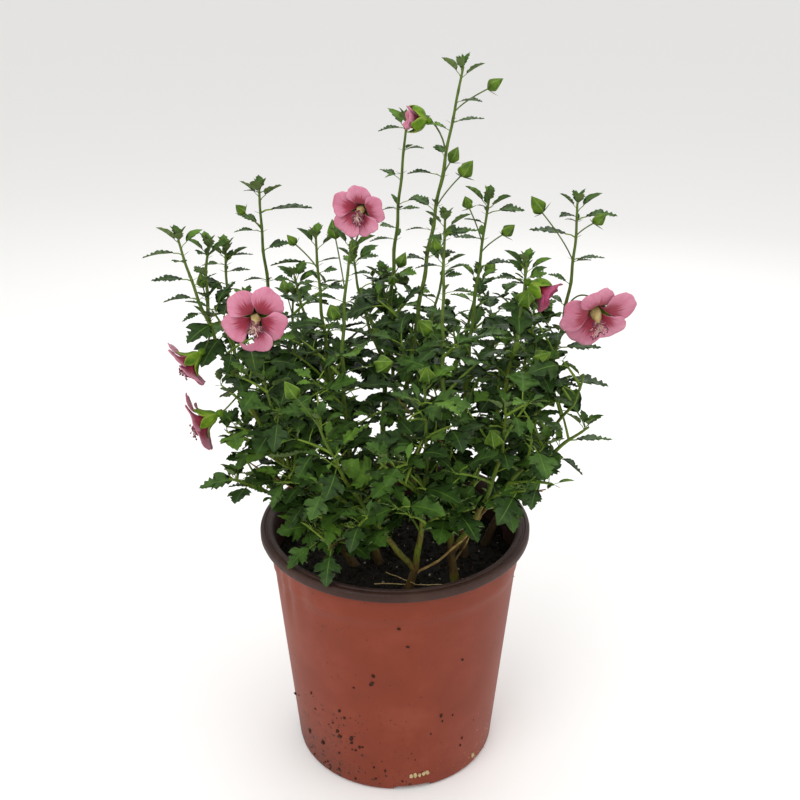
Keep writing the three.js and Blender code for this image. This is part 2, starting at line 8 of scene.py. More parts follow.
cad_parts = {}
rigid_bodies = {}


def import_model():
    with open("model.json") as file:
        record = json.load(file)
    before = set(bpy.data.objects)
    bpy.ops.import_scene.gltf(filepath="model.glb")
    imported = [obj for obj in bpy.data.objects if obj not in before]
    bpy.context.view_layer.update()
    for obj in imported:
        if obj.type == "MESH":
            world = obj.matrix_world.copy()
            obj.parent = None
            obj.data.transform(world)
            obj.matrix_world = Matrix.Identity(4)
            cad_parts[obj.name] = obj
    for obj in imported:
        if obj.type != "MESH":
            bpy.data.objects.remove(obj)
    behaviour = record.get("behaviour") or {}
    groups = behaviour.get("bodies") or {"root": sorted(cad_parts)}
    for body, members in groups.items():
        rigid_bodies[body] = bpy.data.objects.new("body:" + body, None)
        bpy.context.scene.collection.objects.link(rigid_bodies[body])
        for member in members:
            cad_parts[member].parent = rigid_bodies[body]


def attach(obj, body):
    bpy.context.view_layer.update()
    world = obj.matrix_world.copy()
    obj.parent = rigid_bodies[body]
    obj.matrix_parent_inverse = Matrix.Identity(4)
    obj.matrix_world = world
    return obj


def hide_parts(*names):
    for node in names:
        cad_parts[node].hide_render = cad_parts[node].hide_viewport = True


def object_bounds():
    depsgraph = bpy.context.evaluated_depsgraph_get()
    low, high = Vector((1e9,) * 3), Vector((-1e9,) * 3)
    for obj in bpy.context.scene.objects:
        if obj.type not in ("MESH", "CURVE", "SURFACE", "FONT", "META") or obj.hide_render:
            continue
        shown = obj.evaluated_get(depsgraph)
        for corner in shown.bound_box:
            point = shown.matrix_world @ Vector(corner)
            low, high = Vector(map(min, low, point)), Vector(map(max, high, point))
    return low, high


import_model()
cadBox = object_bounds()

# lengths are in millimetres until a mesh is made; +X is the plant's right and +Z is up
mm = 0.001
up = Vector((0, 0, 1))
goldenAngle = math.radians(137.5)  # turn from one leaf to the next up a shoot


def hexColour(code):
    channels = [int(code[i:i + 2], 16) / 255 for i in (1, 3, 5)]
    linear = [c / 12.92 if c <= 0.04045 else ((c + 0.055) / 1.055) ** 2.4 for c in channels]
    return (*linear, 1.0)


def mixed(low, high, share):
    return low + (high - low) * share


def smooth(share):
    share = min(1.0, max(0.0, share))
    return share * share * (3 - 2 * share)


# dice that fall the same way on every run for the same seed
def seeded(seed):
    state = [seed]

    def roll():
        state[0] = (state[0] * 1664525 + 1013904223) & 0xffffffff
        return state[0] / 4294967296

    return roll


# two directions that lie across a given one
def planeOf(normal):
    helper = Vector((1, 0, 0)) if abs(normal.z) > 0.9 * normal.length else up
    across = helper.cross(normal).normalized()
    return across, normal.normalized().cross(across)


# one node with its settings, properties or socket values alike, its colour stops, and its links
def addNode(tree, kind, settings=None, links=None):
    node = tree.nodes.new(kind)
    for key, value in (settings or {}).items():
        if key == "stops":
            elements = node.color_ramp.elements
            for element, (position, code) in zip(elements, (value[0], value[-1])):
                element.position, element.color = position, hexColour(code)
            for position, code in value[1:-1]:
                elements.new(position).color = hexColour(code)
        elif isinstance(key, str) and hasattr(node, key):
            setattr(node, key, value)
        else:
            node.inputs[key].default_value = value
    joinTo(tree, node, links or {})
    return node


# links a node's sockets to other nodes, or to one socket of theirs
def joinTo(tree, node, links):
    for socket, source in links.items():
        tree.links.new(source if hasattr(source, "links") else source.outputs[0], node.inputs[socket])


# a material with its shader's own sockets set
def startMaterial(name, sockets):
    material = bpy.data.materials.new(name)
    material.use_nodes = True
    shader = material.node_tree.nodes["Principled BSDF"]
    for socket, value in sockets.items():
        shader.inputs[socket].default_value = value
    material.diffuse_color = (0.4, 0.4, 0.4, 1)
    return material, material.node_tree, shader


# an object made of points in millimetres, with attributes that hold a value for each point
def newObject(name, points, edges, faces, attributes):
    mesh = bpy.data.meshes.new(name)
    mesh.from_pydata([Vector(point) * mm for point in points], edges, faces)
    for label, (kind, values) in attributes.items():
        mesh.attributes.new(label, kind, "POINT").data.foreach_set("value", values)
    obj = bpy.data.objects.new(name, mesh)
    bpy.context.scene.collection.objects.link(obj)
    return obj


# a smooth object with its materials; rim holds the sharp edges
def buildMesh(name, points, faces, materials, zones=None, rim=(), attributes=None):
    obj = newObject(name, points, [], faces, attributes or {})
    mesh = obj.data
    for material in materials:
        mesh.materials.append(material)
    if zones:
        mesh.polygons.foreach_set("material_index", zones)
    mesh.polygons.foreach_set("use_smooth", [True] * len(mesh.polygons))
    if rim:
        wanted = {tuple(sorted(pair)) for pair in rim}
        for edge in mesh.edges:
            edge.use_edge_sharp = tuple(sorted(edge.vertices)) in wanted
    mesh.update()
    return obj


# turns faces the right way out on a closed mesh
def faceOutward(obj):
    work = bmesh.new()
    work.from_mesh(obj.data)
    bmesh.ops.remove_doubles(work, verts=work.verts, dist=1e-6)
    bmesh.ops.recalc_face_normals(work, faces=work.faces)
    work.to_mesh(obj.data)
    work.free()
    return obj


# keeps what a modifier makes of an object as its plain mesh, and takes the modifier away
def keepResult(obj, modifier):
    graph = bpy.context.evaluated_depsgraph_get()
    made = bpy.data.meshes.new_from_object(obj.evaluated_get(graph), depsgraph=graph)
    obj.modifiers.remove(modifier)
    start = obj.data
    obj.data = made
    bpy.data.meshes.remove(start)
    return made


# runs a node tree on an object with its named inputs, then drops the attributes that only guided it
def growWithNodes(obj, tree, inputs, guides=()):
    modifier = obj.modifiers.new(tree.name, "NODES")
    modifier.node_group = tree
    for item in tree.interface.items_tree:
        if item.item_type == "SOCKET" and item.in_out == "INPUT" and item.name in inputs:
            modifier[item.identifier] = inputs[item.name]
    made = keepResult(obj, modifier)
    for label in guides:
        if label in made.attributes:
            made.attributes.remove(made.attributes[label])
    return obj


def newTree(name, inputs):
    tree = bpy.data.node_groups.new(name, "GeometryNodeTree")
    tree.interface.new_socket("Geometry", in_out="INPUT", socket_type="NodeSocketGeometry")
    tree.interface.new_socket("Geometry", in_out="OUTPUT", socket_type="NodeSocketGeometry")
    for label, kind, value in inputs:
        socket = tree.interface.new_socket(label, in_out="INPUT", socket_type="NodeSocket" + kind)
        if value is not None:
            socket.default_value = value
    source = addNode(tree, "NodeGroupInput")
    return tree, source.outputs


# ends a tree: instances made real, then each finish on the faces chosen for it
def endTree(tree, geometry, finishes):
    geometry = addNode(tree, "GeometryNodeRealizeInstances", {}, {"Geometry": geometry})
    for chosen, finish in finishes:
        links = {"Geometry": geometry, "Material": finish}
        if chosen:
            links["Selection"] = chosen
        geometry = addNode(tree, "GeometryNodeSetMaterial", {}, links)
    addNode(tree, "NodeGroupOutput", {}, {"Geometry": geometry})
    return tree


# tells the frame what a finished piece stands for
def handOver(obj, nodes=()):
    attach(obj, "root")
    if nodes:
        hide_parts(*nodes)
    triangles = sum(len(face.vertices) - 2 for face in obj.data.polygons)
    print("piece", obj.name, triangles, "triangles")


# thin round lines: each chain of points becomes a tube whose girth follows the points
def makeLineTree():
    tree, given = newTree("roundLines", [("Sides", "Int", 6), ("Finish", "Material", None)])
    curve = addNode(tree, "GeometryNodeMeshToCurve", {}, {"Mesh": given["Geometry"]})
    ring = addNode(tree, "GeometryNodeCurvePrimitiveCircle", {"Radius": 1.0}, {"Resolution": given["Sides"]})
    girth = addNode(tree, "GeometryNodeInputNamedAttribute", {"data_type": "FLOAT", "Name": "girth"})
    tube = addNode(tree, "GeometryNodeCurveToMesh", {"Fill Caps": True},
                   {"Curve": curve, "Profile Curve": ring.outputs["Curve"], "Scale": girth})
    rounded = addNode(tree, "GeometryNodeSetShadeSmooth", {}, {"Geometry": tube})
    return endTree(tree, rounded, [(None, given["Finish"])])


def makeLines(name, chains, sides, finish, tree):
    points, edges, girths = [], [], []
    for chain in chains:
        edges += [(i, i + 1) for i in range(len(points), len(points) + len(chain) - 1)]
        points += [point for point, radius in chain]
        girths += [radius * mm for point, radius in chain]
    obj = newObject(name, points, edges, [], {"girth": ("FLOAT", girths)})
    return growWithNodes(obj, tree, {"Sides": sides, "Finish": finish})


potForm = {
    "height": 162,
    "rimRadius": 85,
    "rimHeight": 5.6,
    "neckRadius": 78,
    "shoulderDrop": 20,  # from the rim's underside down to the faint step
    "shoulderStep": 0.8,
    "baseRadius": 65.8,
    "baseRound": 3.2,
    "wall": 1.4,
    "floor": 2,
    "facets": 144,
    "holes": {"count": 6, "radius": 6, "ring": 42},
    "notches": {"count": 4, "width": 24, "height": 3.6, "depth": 9, "firstTurn": -80},
    # dents pressed into the thin wall: turn, half width in degrees, depth, middle height, half height
    "dents": [(203, 4.0, 2.0, 141, 15), (213, 3.2, 1.8, 137, 18), (224, 4.5, 1.7, 142, 12),
              (12, 5.0, 3.2, 128, 26), (24, 4.0, -1.5, 130, 24), (-32, 9.0, -1.0, 146, 10),
              (118, 8.0, 1.2, 100, 40), (300, 16.0, 0.5, 90, 40)],
}


# the pot's outline from the middle of the underside to the middle of the floor: radius, height, zone
def potOutline(form):
    top = form["height"]
    underRim = top - form["rimHeight"]
    shoulder = underRim - form["shoulderDrop"]
    base, neck, rim, wall = (form[key] for key in ("baseRadius", "neckRadius", "rimRadius", "wall"))
    curve = form["baseRound"]
    outline = [(0, 0, 0), (25, 0, 0), (50, 0, 0), (base - curve, 0, 0)]
    for i in range(1, 6):
        angle = math.radians(18 * i)
        outline.append((base - curve * (1 - math.sin(angle)), curve * (1 - math.cos(angle)), 0))
    for i in range(1, 25):
        outline.append((mixed(base, neck - form["shoulderStep"], i / 24), mixed(curve, shoulder, i / 24), 0))
    outline.append((neck, shoulder + 1.2, 0))
    for i in range(1, 6):
        outline.append((mixed(neck, neck + 0.6, i / 5), mixed(shoulder + 1.2, underRim - 0.4, i / 5), 0))
    rimLine = [(neck + 1.4, underRim), (rim - 1.0, underRim), (rim - 0.25, underRim + 0.3),
               (rim, underRim + 1), (rim, top - 1.8), (rim - 0.5, top - 0.5), (rim - 1.7, top)]
    # a shallow groove runs round the rim's top
    rimLine += [(rim - 2.5, top), (rim - 3.0, top - 0.7), (rim - 4.0, top - 0.7), (rim - 4.5, top),
                (neck + 1.2, top - 0.1), (neck, top - 0.5)]
    for i in range(27):
        inside = mixed(neck - wall, base - wall + 0.2, i / 26)
        rimLine.append((inside, mixed(top - 2, form["floor"] + 2, i / 26)))
    rimLine += [(base - wall - 2, form["floor"]), (40, form["floor"]), (0, form["floor"])]
    return outline + [(radius, height, 1) for radius, height in rimLine]


# how far the thin wall stands out from its true round at a place
def wallShift(form, degrees, height):
    share = smooth(height / form["height"])
    turn = math.radians(degrees)
    shift = share * (0.35 * math.sin(2 * turn + 0.7) + 0.25 * math.sin(3 * turn + 2.0))
    for middle, half, depth, level, reach in form["dents"]:
        away = (degrees - middle + 180) % 360 - 180
        shift -= depth * math.exp(-(away / half) ** 2 - ((height - level) / reach) ** 2)
    return shift


def potMesh(form, finishes):
    outline = potOutline(form)
    count = form["facets"]
    points = []
    for radius, height, zone in outline:
        if radius == 0:
            points.append((0, 0, height))
            continue
        for j in range(count):
            degrees = 360 * j / count
            onWall = smooth((radius - 50) / 14)
            rimHold = 1 - 0.75 * smooth((height - 150) / 8)
            spread = radius + onWall * rimHold * wallShift(form, degrees, height)
            turn = math.radians(degrees)
            lift = 0.35 * math.sin(2 * turn + 1.0) * smooth((height - 140) / 20)
            points.append((spread * math.cos(turn), spread * math.sin(turn), height + lift))
    faces = []
    zones = []
    firsts = [0]
    for radius, height, zone in outline[:-1]:
        firsts.append(firsts[-1] + (1 if radius == 0 else count))
    for i in range(len(outline) - 1):
        low, high = firsts[i], firsts[i + 1]
        for j in range(count):
            k = (j + 1) % count
            if outline[i][0] == 0:
                faces.append((low, high + k, high + j))
            elif outline[i + 1][0] == 0:
                faces.append((low + j, low + k, high))
            else:
                faces.append((low + j, low + k, high + k, high + j))
            zones.append(outline[i + 1][2])
    return buildMesh("nurseryPot", points, faces, finishes, zones)


# the drain holes through the floor and the notches under the edge
def cutDrains(body, form, finish):
    cutters = bmesh.new()
    holes, notches = form["holes"], form["notches"]
    for i in range(holes["count"]):
        turn = 2 * math.pi * i / holes["count"]
        place = Matrix.Translation(Vector((math.cos(turn), math.sin(turn), 0)) * holes["ring"] * mm)
        radius = holes["radius"] * mm
        bmesh.ops.create_cone(cutters, cap_ends=True, segments=32, radius1=radius, radius2=radius,
                              depth=4 * form["floor"] * mm, matrix=place)
    for i in range(notches["count"]):
        turn = math.radians(notches["firstTurn"] + 360 * i / notches["count"])
        size = Vector((notches["depth"], notches["width"], 2 * notches["height"])) * mm
        place = Matrix.Rotation(turn, 4, "Z") @ Matrix.Translation(Vector((form["baseRadius"] * mm, 0, 0)))
        bmesh.ops.create_cube(cutters, size=1, matrix=place @ Matrix.Diagonal((*size, 1)))
    mesh = bpy.data.meshes.new("drains")
    cutters.to_mesh(mesh)
    cutters.free()
    mesh.materials.append(finish)
    tool = bpy.data.objects.new("drains", mesh)
    bpy.context.scene.collection.objects.link(tool)
    cut = body.modifiers.new("drains", "BOOLEAN")
    cut.object = tool
    cut.solver = "EXACT"
    made = keepResult(body, cut)
    bpy.data.objects.remove(tool)
    bpy.data.meshes.remove(mesh)
    work = bmesh.new()
    work.from_mesh(made)
    work.edges.ensure_lookup_table()
    for edge in work.edges:
        if len(edge.link_faces) == 2 and edge.calc_face_angle() > math.radians(50):
            edge.smooth = False
    work.to_mesh(made)
    work.free()


# starts a finish with colours that drift in soft patches: size in millimetres, detail, roughness
def startFinish(name, look, patch, stops):
    material, tree, shader = startMaterial(name, look)
    place = addNode(tree, "ShaderNodeTexCoord").outputs["Object"]
    size, detail, roughness = patch
    cloud = addNode(tree, "ShaderNodeTexNoise",
                    {"Scale": 1 / (size * mm), "Detail": detail, "Roughness": roughness}, {"Vector": place})
    base = addNode(tree, "ShaderNodeValToRGB", {"stops": stops}, {"Fac": cloud})
    return material, tree, shader, place, base


# ends a finish: more colours laid on, each as far as its mask says, and a relief of a strength and depth
def endFinish(tree, shader, base, layers, height, strength, depth):
    for mask, code in layers:
        base = addNode(tree, "ShaderNodeMix", {"data_type": "RGBA", 7: hexColour(code)},
                       {0: mask, 6: base}).outputs[2]
    bump = addNode(tree, "ShaderNodeBump", {"Strength": strength, "Distance": depth * mm}, {"Height": height})
    joinTo(tree, shader, {"Base Color": base, "Normal": bump})


# a plain natural finish: drifting colours over a grain of a size, detail, roughness, strength and depth
def makeGrainyFinish(name, look, patch, stops, grain):
    material, tree, shader, place, base = startFinish(name, look, patch, stops)
    size, detail, roughness, strength, depth = grain
    fine = addNode(tree, "ShaderNodeTexNoise",
                   {"Scale": 1 / (size * mm), "Detail": detail, "Roughness": roughness}, {"Vector": place})
    endFinish(tree, shader, base, [], fine, strength, depth)
    return material


# thermoformed polypropylene, brick red outside: a soft low sheen, faint cloudy scuffs and splashed soil
def makeRedPlastic():
    look = {"Roughness": 0.5, "IOR": 1.49, "Specular IOR Level": 0.22}
    stops = [(0.3, "#732f1a"), (0.5, "#79321e"), (0.72, "#823b28")]
    material, tree, shader, place, base = startFinish(
        "thermoformedRedPolypropylene", look, (38, 4, 0.6), stops)
    streaks = addNode(tree, "ShaderNodeMapping", {"Scale": (1, 1, 0.12)}, {"Vector": place})
    scuff = addNode(tree, "ShaderNodeTexNoise", {"Scale": 1 / (5 * mm), "Detail": 4, "Roughness": 0.7},
                    {"Vector": streaks})
    pale = addNode(tree, "ShaderNodeValToRGB", {"stops": [(0.60, "#000000"), (0.80, "#484848")]},
                   {"Fac": scuff})
    parts = addNode(tree, "ShaderNodeSeparateXYZ", {}, {"Vector": place})
    low, left, right = (
        addNode(tree, "ShaderNodeMapRange", {"From Min": start, "From Max": end},
                {"Value": parts.outputs[axis]})
        for axis, start, end in (("Z", 0.075, 0.0), ("X", 0.03, -0.06), ("X", 0.0, 0.05)))
    drift = addNode(tree, "ShaderNodeTexNoise", {"Scale": 1 / (17 * mm), "Detail": 3, "Roughness": 0.6},
                    {"Vector": place})
    ground = addNode(tree, "ShaderNodeMath", {"operation": "MULTIPLY_ADD", 1: 0.36, 2: -0.12}, {0: drift})
    # soil splashed in ragged specks of 0.5 to 2 mm, thicker low down on the left, with a film of mud there
    ragged = addNode(tree, "ShaderNodeTexNoise", {"Scale": 1 / (1.3 * mm), "Detail": 2}, {"Vector": place})
    shoved = addNode(tree, "ShaderNodeVectorMath", {"operation": "MULTIPLY_ADD", 1: (3.4 * mm,) * 3},
                     {0: ragged.outputs["Color"], 2: place})
    lowLeft = addNode(tree, "ShaderNodeMath", {"operation": "MULTIPLY"}, {0: low, 1: left})
    mud = addNode(tree, "ShaderNodeMath", {"operation": "MULTIPLY_ADD", 1: 0.26}, {0: lowLeft, 2: ground})
    film = addNode(tree, "ShaderNodeMapRange", {"From Min": 0.16, "From Max": 0.38, "To Max": 0.55},
                   {"Value": mud})
    # dried lime spots low down on the right
    lowRight = addNode(tree, "ShaderNodeMath", {"operation": "MULTIPLY"}, {0: low, 1: right})
    lime = addNode(tree, "ShaderNodeMath", {"operation": "MULTIPLY_ADD", 1: 0.20, 2: -0.03}, {0: lowRight})
    layers = [(pale, "#a66d5b"), (film, "#4c2c20")]
    for size, limit, code in ((5.2, mud, "#3a2018"), (2.3, mud, "#4a281c"), (3.4, lime, "#b39a82")):
        pattern = addNode(tree, "ShaderNodeTexVoronoi", {"Scale": 1 / (size * mm)}, {"Vector": shoved})
        speck = addNode(tree, "ShaderNodeMath", {"operation": "LESS_THAN"}, {0: pattern, 1: limit})
        layers.append((speck, code))
    relief = addNode(tree, "ShaderNodeTexNoise", {"Scale": 1 / (1.1 * mm), "Detail": 2}, {"Vector": place})
    endFinish(tree, shader, base, layers, relief, 0.25, 0.12)
    return material


# the same plastic's dark brown inner layer, which also makes the rim: duller, with dust in its scratches
def makeBrownPlastic():
    look = {"Roughness": 0.55, "IOR": 1.49, "Specular IOR Level": 0.26}
    stops = [(0.3, "#2c1711"), (0.55, "#38221b"), (0.75, "#463029")]
    material, tree, shader, place, base = startFinish("darkBrownPolypropylene", look, (22, 4, 0.6), stops)
    dust = addNode(tree, "ShaderNodeTexNoise", {"Scale": 1 / (1.8 * mm), "Detail": 3, "Roughness": 0.7},
                   {"Vector": place})
    pale = addNode(tree, "ShaderNodeValToRGB", {"stops": [(0.56, "#000000"), (0.8, "#686868")]},
                   {"Fac": dust})
    endFinish(tree, shader, base, [(pale, "#75655a")], dust, 0.2, 0.15)
    return material


soilForm = {"level": 140, "edge": 138, "bottom": 2.5, "rings": 44, "facets": 128, "relief": 1.9}


def soilHeight(form, x, y, radius):
    edgeRadius = potForm["neckRadius"] - 4
    level = mixed(form["level"], form["edge"], smooth((radius - 62) / (edgeRadius - 62)))
    coarse = noise.noise(Vector((x, y, 3)) / 17) * 1.0 + noise.noise(Vector((x, y, 9)) / 6) * 0.6
    fine = noise.noise(Vector((x, y, 5)) / 2.2) * 0.4
    return level - 0.6 + form["relief"] * 0.5 * coarse + fine


def soilMesh(form, finish):
    count = form["facets"]
    inner = potForm["baseRadius"] - potForm["wall"]
    outer = mixed(inner, potForm["neckRadius"] - potForm["wall"], 0.87) - 0.25
    points = [(0, 0, soilHeight(form, 0, 0, 0))]
    for i in range(1, form["rings"] + 1):
        radius = outer * i / form["rings"]
        for j in range(count):
            turn = 2 * math.pi * j / count
            x, y = radius * math.cos(turn), radius * math.sin(turn)
            held = min(1.0, (outer - radius) / 4 + 0.2)
            height = mixed(form["edge"], soilHeight(form, x, y, radius), held)
            shift = wallShift(potForm, 360 * j / count, height) * smooth((radius - 60) / 12)
            reach = (radius + shift) / max(radius, 1)
            points.append((x * reach, y * reach, height))
    for j in range(count):
        turn = 2 * math.pi * j / count
        points.append(((inner - 1.0) * math.cos(turn), (inner - 1.0) * math.sin(turn), form["bottom"]))
    points.append((0, 0, form["bottom"]))
    faces = []
    for j in range(count):
        k = (j + 1) % count
        faces.append((0, 1 + j, 1 + k))
        for i in range(form["rings"]):
            low, high = 1 + i * count, 1 + (i + 1) * count
            faces.append((low + j, high + j, high + k, low + k))
        last = 1 + form["rings"] * count
        faces.append((len(points) - 1, last + k, last + j))
    return buildMesh("pottingSoil", points, faces, [finish])


# peat, grit and dried splashes: rough and matt, the damp peat nearly black with some dull brown fibre
def makePeat(name, stops):
    look = {"Roughness": 0.92, "IOR": 1.4, "Specular IOR Level": 0.25}
    return makeGrainyFinish(name, look, (2.6, 5, 0.75), stops, (0.9, 3, 0.7, 0.6, 0.5))


# sets the small templates of a collection on points, each turned at random
def sowGrains(tree, given, points, size):
    parcel = addNode(tree, "GeometryNodeCollectionInfo", {"Separate Children": True, "Reset Children": True},
                     {"Collection": given["Grains"]})
    turn = addNode(tree, "FunctionNodeRandomValue",
                   {"data_type": "FLOAT_VECTOR", 0: (0, 0, 0), 1: (6.3, 6.3, 6.3)}, {"Seed": given["Seed"]})
    placed = addNode(tree, "GeometryNodeInstanceOnPoints", {"Pick Instance": True},
                     {"Points": points, "Instance": parcel, "Rotation": turn, "Scale": size})
    return endTree(tree, placed, [(None, given["Finish"])])


# scatters grains over a surface's upward faces
def makeScatterTree():
    tree, given = newTree("scatteredGrains", [
        ("Grains", "Collection", None), ("Density", "Float", 1e5), ("Smallest", "Float", 0.5),
        ("Largest", "Float", 1.0), ("Seed", "Int", 0), ("Finish", "Material", None)])
    normal = addNode(tree, "GeometryNodeInputNormal")
    parts = addNode(tree, "ShaderNodeSeparateXYZ", {}, {"Vector": normal})
    topFaces = addNode(tree, "FunctionNodeCompare",
                       {"data_type": "FLOAT", "operation": "GREATER_THAN", 1: 0.5}, {0: parts.outputs["Z"]})
    spots = addNode(tree, "GeometryNodeDistributePointsOnFaces", {},
                    {"Mesh": given["Geometry"], "Selection": topFaces, "Density": given["Density"],
                     "Seed": given["Seed"]})
    size = addNode(tree, "FunctionNodeRandomValue", {"data_type": "FLOAT"},
                   {2: given["Smallest"], 3: given["Largest"], "Seed": given["Seed"]})
    return sowGrains(tree, given, spots, size.outputs[1])


# sets one grain on each point, as large as the point's size says
def makeBeadTree():
    tree, given = newTree("placedBeads", [
        ("Grains", "Collection", None), ("Seed", "Int", 0), ("Finish", "Material", None)])
    size = addNode(tree, "GeometryNodeInputNamedAttribute", {"data_type": "FLOAT", "Name": "size"})
    return sowGrains(tree, given, given["Geometry"], size)


def placeBeads(name, spots, parcel, seed, finish, tree):
    sizes = {"size": ("FLOAT", [size for spot, size in spots])}
    obj = newObject(name, [spot for spot, size in spots], [], [], sizes)
    return growWithNodes(obj, tree, {"Grains": parcel, "Seed": seed, "Finish": finish}, ["size"])


# larger flecks of mud on the pot's wall: turn, height, size
mudFlecks = [
    (-100, 96, 2.6), (-101, 90, 3.2), (-66, 59, 2.6), (-65, 54, 1.7), (-56, 99, 1.8), (-84, 119, 2.0),
    (-119, 61, 2.6), (-121.5, 43, 2.8), (-120, 39, 2.8), (-113, 41, 3.0), (-113, 37, 2.2),
    (-109, 35, 2.4), (-133, 25, 3.0), (-138, 63, 1.8), (-162, 41, 2.8), (-52, 26, 2.0), (-59, 56, 1.4),
    (-110, 84, 1.4), (-145, 26, 2.4), (-124, 48, 1.8), (-88, 133, 2.2),
]


# where splashed crumbs stick to the pot's wall: most of them low down at the front left
def splashSpots(form, count):
    dice = seeded(310)
    flecks = list(mudFlecks)
    for i in range(count):
        degrees = -150 + 75 * dice() if i % 4 else 360 * dice()
        height = 4 + 58 * dice() ** (1.6 if i % 4 else 0.8)
        flecks.append((degrees, height, 0.35 + 1.7 * dice() ** 4))
    shoulder = form["height"] - form["rimHeight"] - form["shoulderDrop"]
    spots = []
    for degrees, height, size in flecks:
        share = (height - form["baseRound"]) / (shoulder - form["baseRound"])
        spread = mixed(form["baseRadius"], form["neckRadius"] - form["shoulderStep"], share)
        spread += wallShift(form, degrees, height) + 0.15 - 0.12 * size
        turn = math.radians(degrees)
        spots.append((Vector((spread * math.cos(turn), spread * math.sin(turn), height)), size))
    return spots


# angular crumbs about a millimetre across, to be scattered
def grainCollection(name, count, stretch, seed):
    parcel = bpy.data.collections.new(name)
    bpy.context.scene.collection.children.link(parcel)
    for i in range(count):
        work = bmesh.new()
        bmesh.ops.create_icosphere(work, subdivisions=1, radius=0.5 * mm)
        for vertex in work.verts:
            shove = 1 + 0.55 * noise.noise(vertex.co / (0.35 * mm) + Vector((seed + 5 * i, 0, 0)))
            vertex.co = vertex.co * shove
            vertex.co.x *= stretch
        mesh = bpy.data.meshes.new(f"{name}{i}")
        work.to_mesh(mesh)
        work.free()
        parcel.objects.link(bpy.data.objects.new(f"{name}{i}", mesh))
    return parcel


def dropCollection(parcel):
    for obj in list(parcel.objects):
        mesh = obj.data
        bpy.data.objects.remove(obj)
        bpy.data.meshes.remove(mesh)
    bpy.data.collections.remove(parcel)


def scatterGrains(name, ground, tree, parcel, inputs):
    obj = bpy.data.objects.new(name, ground.data.copy())
    bpy.context.scene.collection.objects.link(obj)
    return growWithNodes(obj, tree, {"Grains": parcel, **inputs})


lineTree = makeLineTree()
redPlastic = makeRedPlastic()
brownPlastic = makeBrownPlastic()
peat = makePeat("dampPeat", [(0.35, "#0d0b09"), (0.52, "#1a1712"), (0.66, "#2b261d"), (0.8, "#40382a")])
nurseryPot = potMesh(potForm, [redPlastic, brownPlastic])
cutDrains(nurseryPot, potForm, redPlastic)
handOver(nurseryPot, ["pot"])
pottingSoil = soilMesh(soilForm, peat)
handOver(pottingSoil, ["soil"])
scatterTree = makeScatterTree()
beadTree = makeBeadTree()
crumbKinds = grainCollection("crumb", 4, 1.25, 11)
fibreKinds = grainCollection("fibre", 3, 7.0, 40)
fibrePeat = makePeat("peatFibre", [(0.3, "#2e241a"), (0.7, "#4d3d2b")])
paleGrit = makePeat("paleGrit", [(0.3, "#6b6355"), (0.7, "#a39b88")])
looseGrains = [
    # name, templates, grains on a square metre, smallest, largest, seed, finish
    ("peatCrumbs", crumbKinds, 9.5e4, 0.7, 3.0, 4, peat),
    ("peatFibres", fibreKinds, 1.4e4, 0.4, 1.1, 8, fibrePeat),
    ("paleGrains", crumbKinds, 7.0e3, 0.6, 1.9, 21, paleGrit),
]
for name, kinds, density, smallest, largest, seed, finish in looseGrains:
    amounts = {"Density": density, "Smallest": smallest, "Largest": largest, "Seed": seed, "Finish": finish}
    handOver(scatterGrains(name, pottingSoil, scatterTree, kinds, amounts))
splashPeat = makePeat("driedSplash", [(0.3, "#24130d"), (0.7, "#452a1e")])
splashed = placeBeads("splashedGrit", splashSpots(potForm, 150), crumbKinds, 5, splashPeat, beadTree)
handOver(splashed)
limeSpots = [(-81, 12), (-79, 12.6), (-76.5, 12), (-74, 12.6), (-72, 13), (-40, 8.5)]  # turn and height
limeGrains = []
for degrees, height in limeSpots:
    turn = math.radians(degrees)
    spread = mixed(potForm["baseRadius"], potForm["neckRadius"], height / potForm["height"]) - 0.2
    limeGrains.append((Vector((spread * math.cos(turn), spread * math.sin(turn), height)), 2.9))
limeStone = makePeat("limeGrain", [(0.3, "#a08c66"), (0.7, "#cbb98f")])
handOver(placeBeads("limeGrains", limeGrains, crumbKinds, 6, limeStone, beadTree))
dropCollection(crumbKinds)
dropCollection(fibreKinds)
print("pot and soil made")


# stems from the soil to their tips: foot, tip, bow, height where their leaves start
stemPlan = {
    "tall": ((-5, 15), (37, 4, 437), (-4, 0, -3), 226),
    "high": ((-11, 44), (7, 25, 405), (-2, 2, 3), 222),
    "left_mid": ((-37, 34), (-76, 8, 370), (-12, 4, 0), 204),
    "left": ((-23, -18), (-118, -20, 349), (-14, -8, 12), 192),
    "slim": ((-12, 1), (-44, -5, 346), (-7, 4, -8), 212),
    "inner": ((-9, -15), (-23, -22, 349), (-12, -12, 4), 200),
    "middle": ((37, -36), (28, -12, 359), (-4, -10, -4), 196),
    "right_mid": ((44, -8), (54, 12, 365), (-6, 2, -8), 206),
    "right": ((57, 6), (103, 5, 363), (14, 0, 12), 196),
    "front": ((8, -43), (16, -62, 284), (5, -6, -4), 184),
    "back": ((16, 60), (-8, 84, 298), (-4, 8, 0), 190),
}
# boughs that fork from a stem: stem, height of the fork, tip, bow, height where their leaves start
boughPlan = {
    "back_left": ("left_mid", 168, (-66, 68, 288), (-6, 4, 6), 190),
    "low_left": ("left", 160, (-98, -30, 207), (4, -2, 5), 178),
    "front_left": ("front", 156, (-42, -66, 262), (-6, -6, 4), 180),
    "front_right": ("middle", 160, (60, -64, 268), (8, -6, 4), 182),
    "right_inner": ("right_mid", 172, (74, -14, 334), (5, -12, 4), 206),
    "low_right": ("right", 176, (117, -8, 230), (2, -8, 10), 192),
    "back_right": ("back", 164, (54, 74, 300), (8, 6, 2), 190),
    "far_right": ("right", 166, (88, 50, 284), (2, 10, 6), 190),
    "low_front": ("inner", 152, (-46, -50, 196), (-2, -8, 2), 162),
}
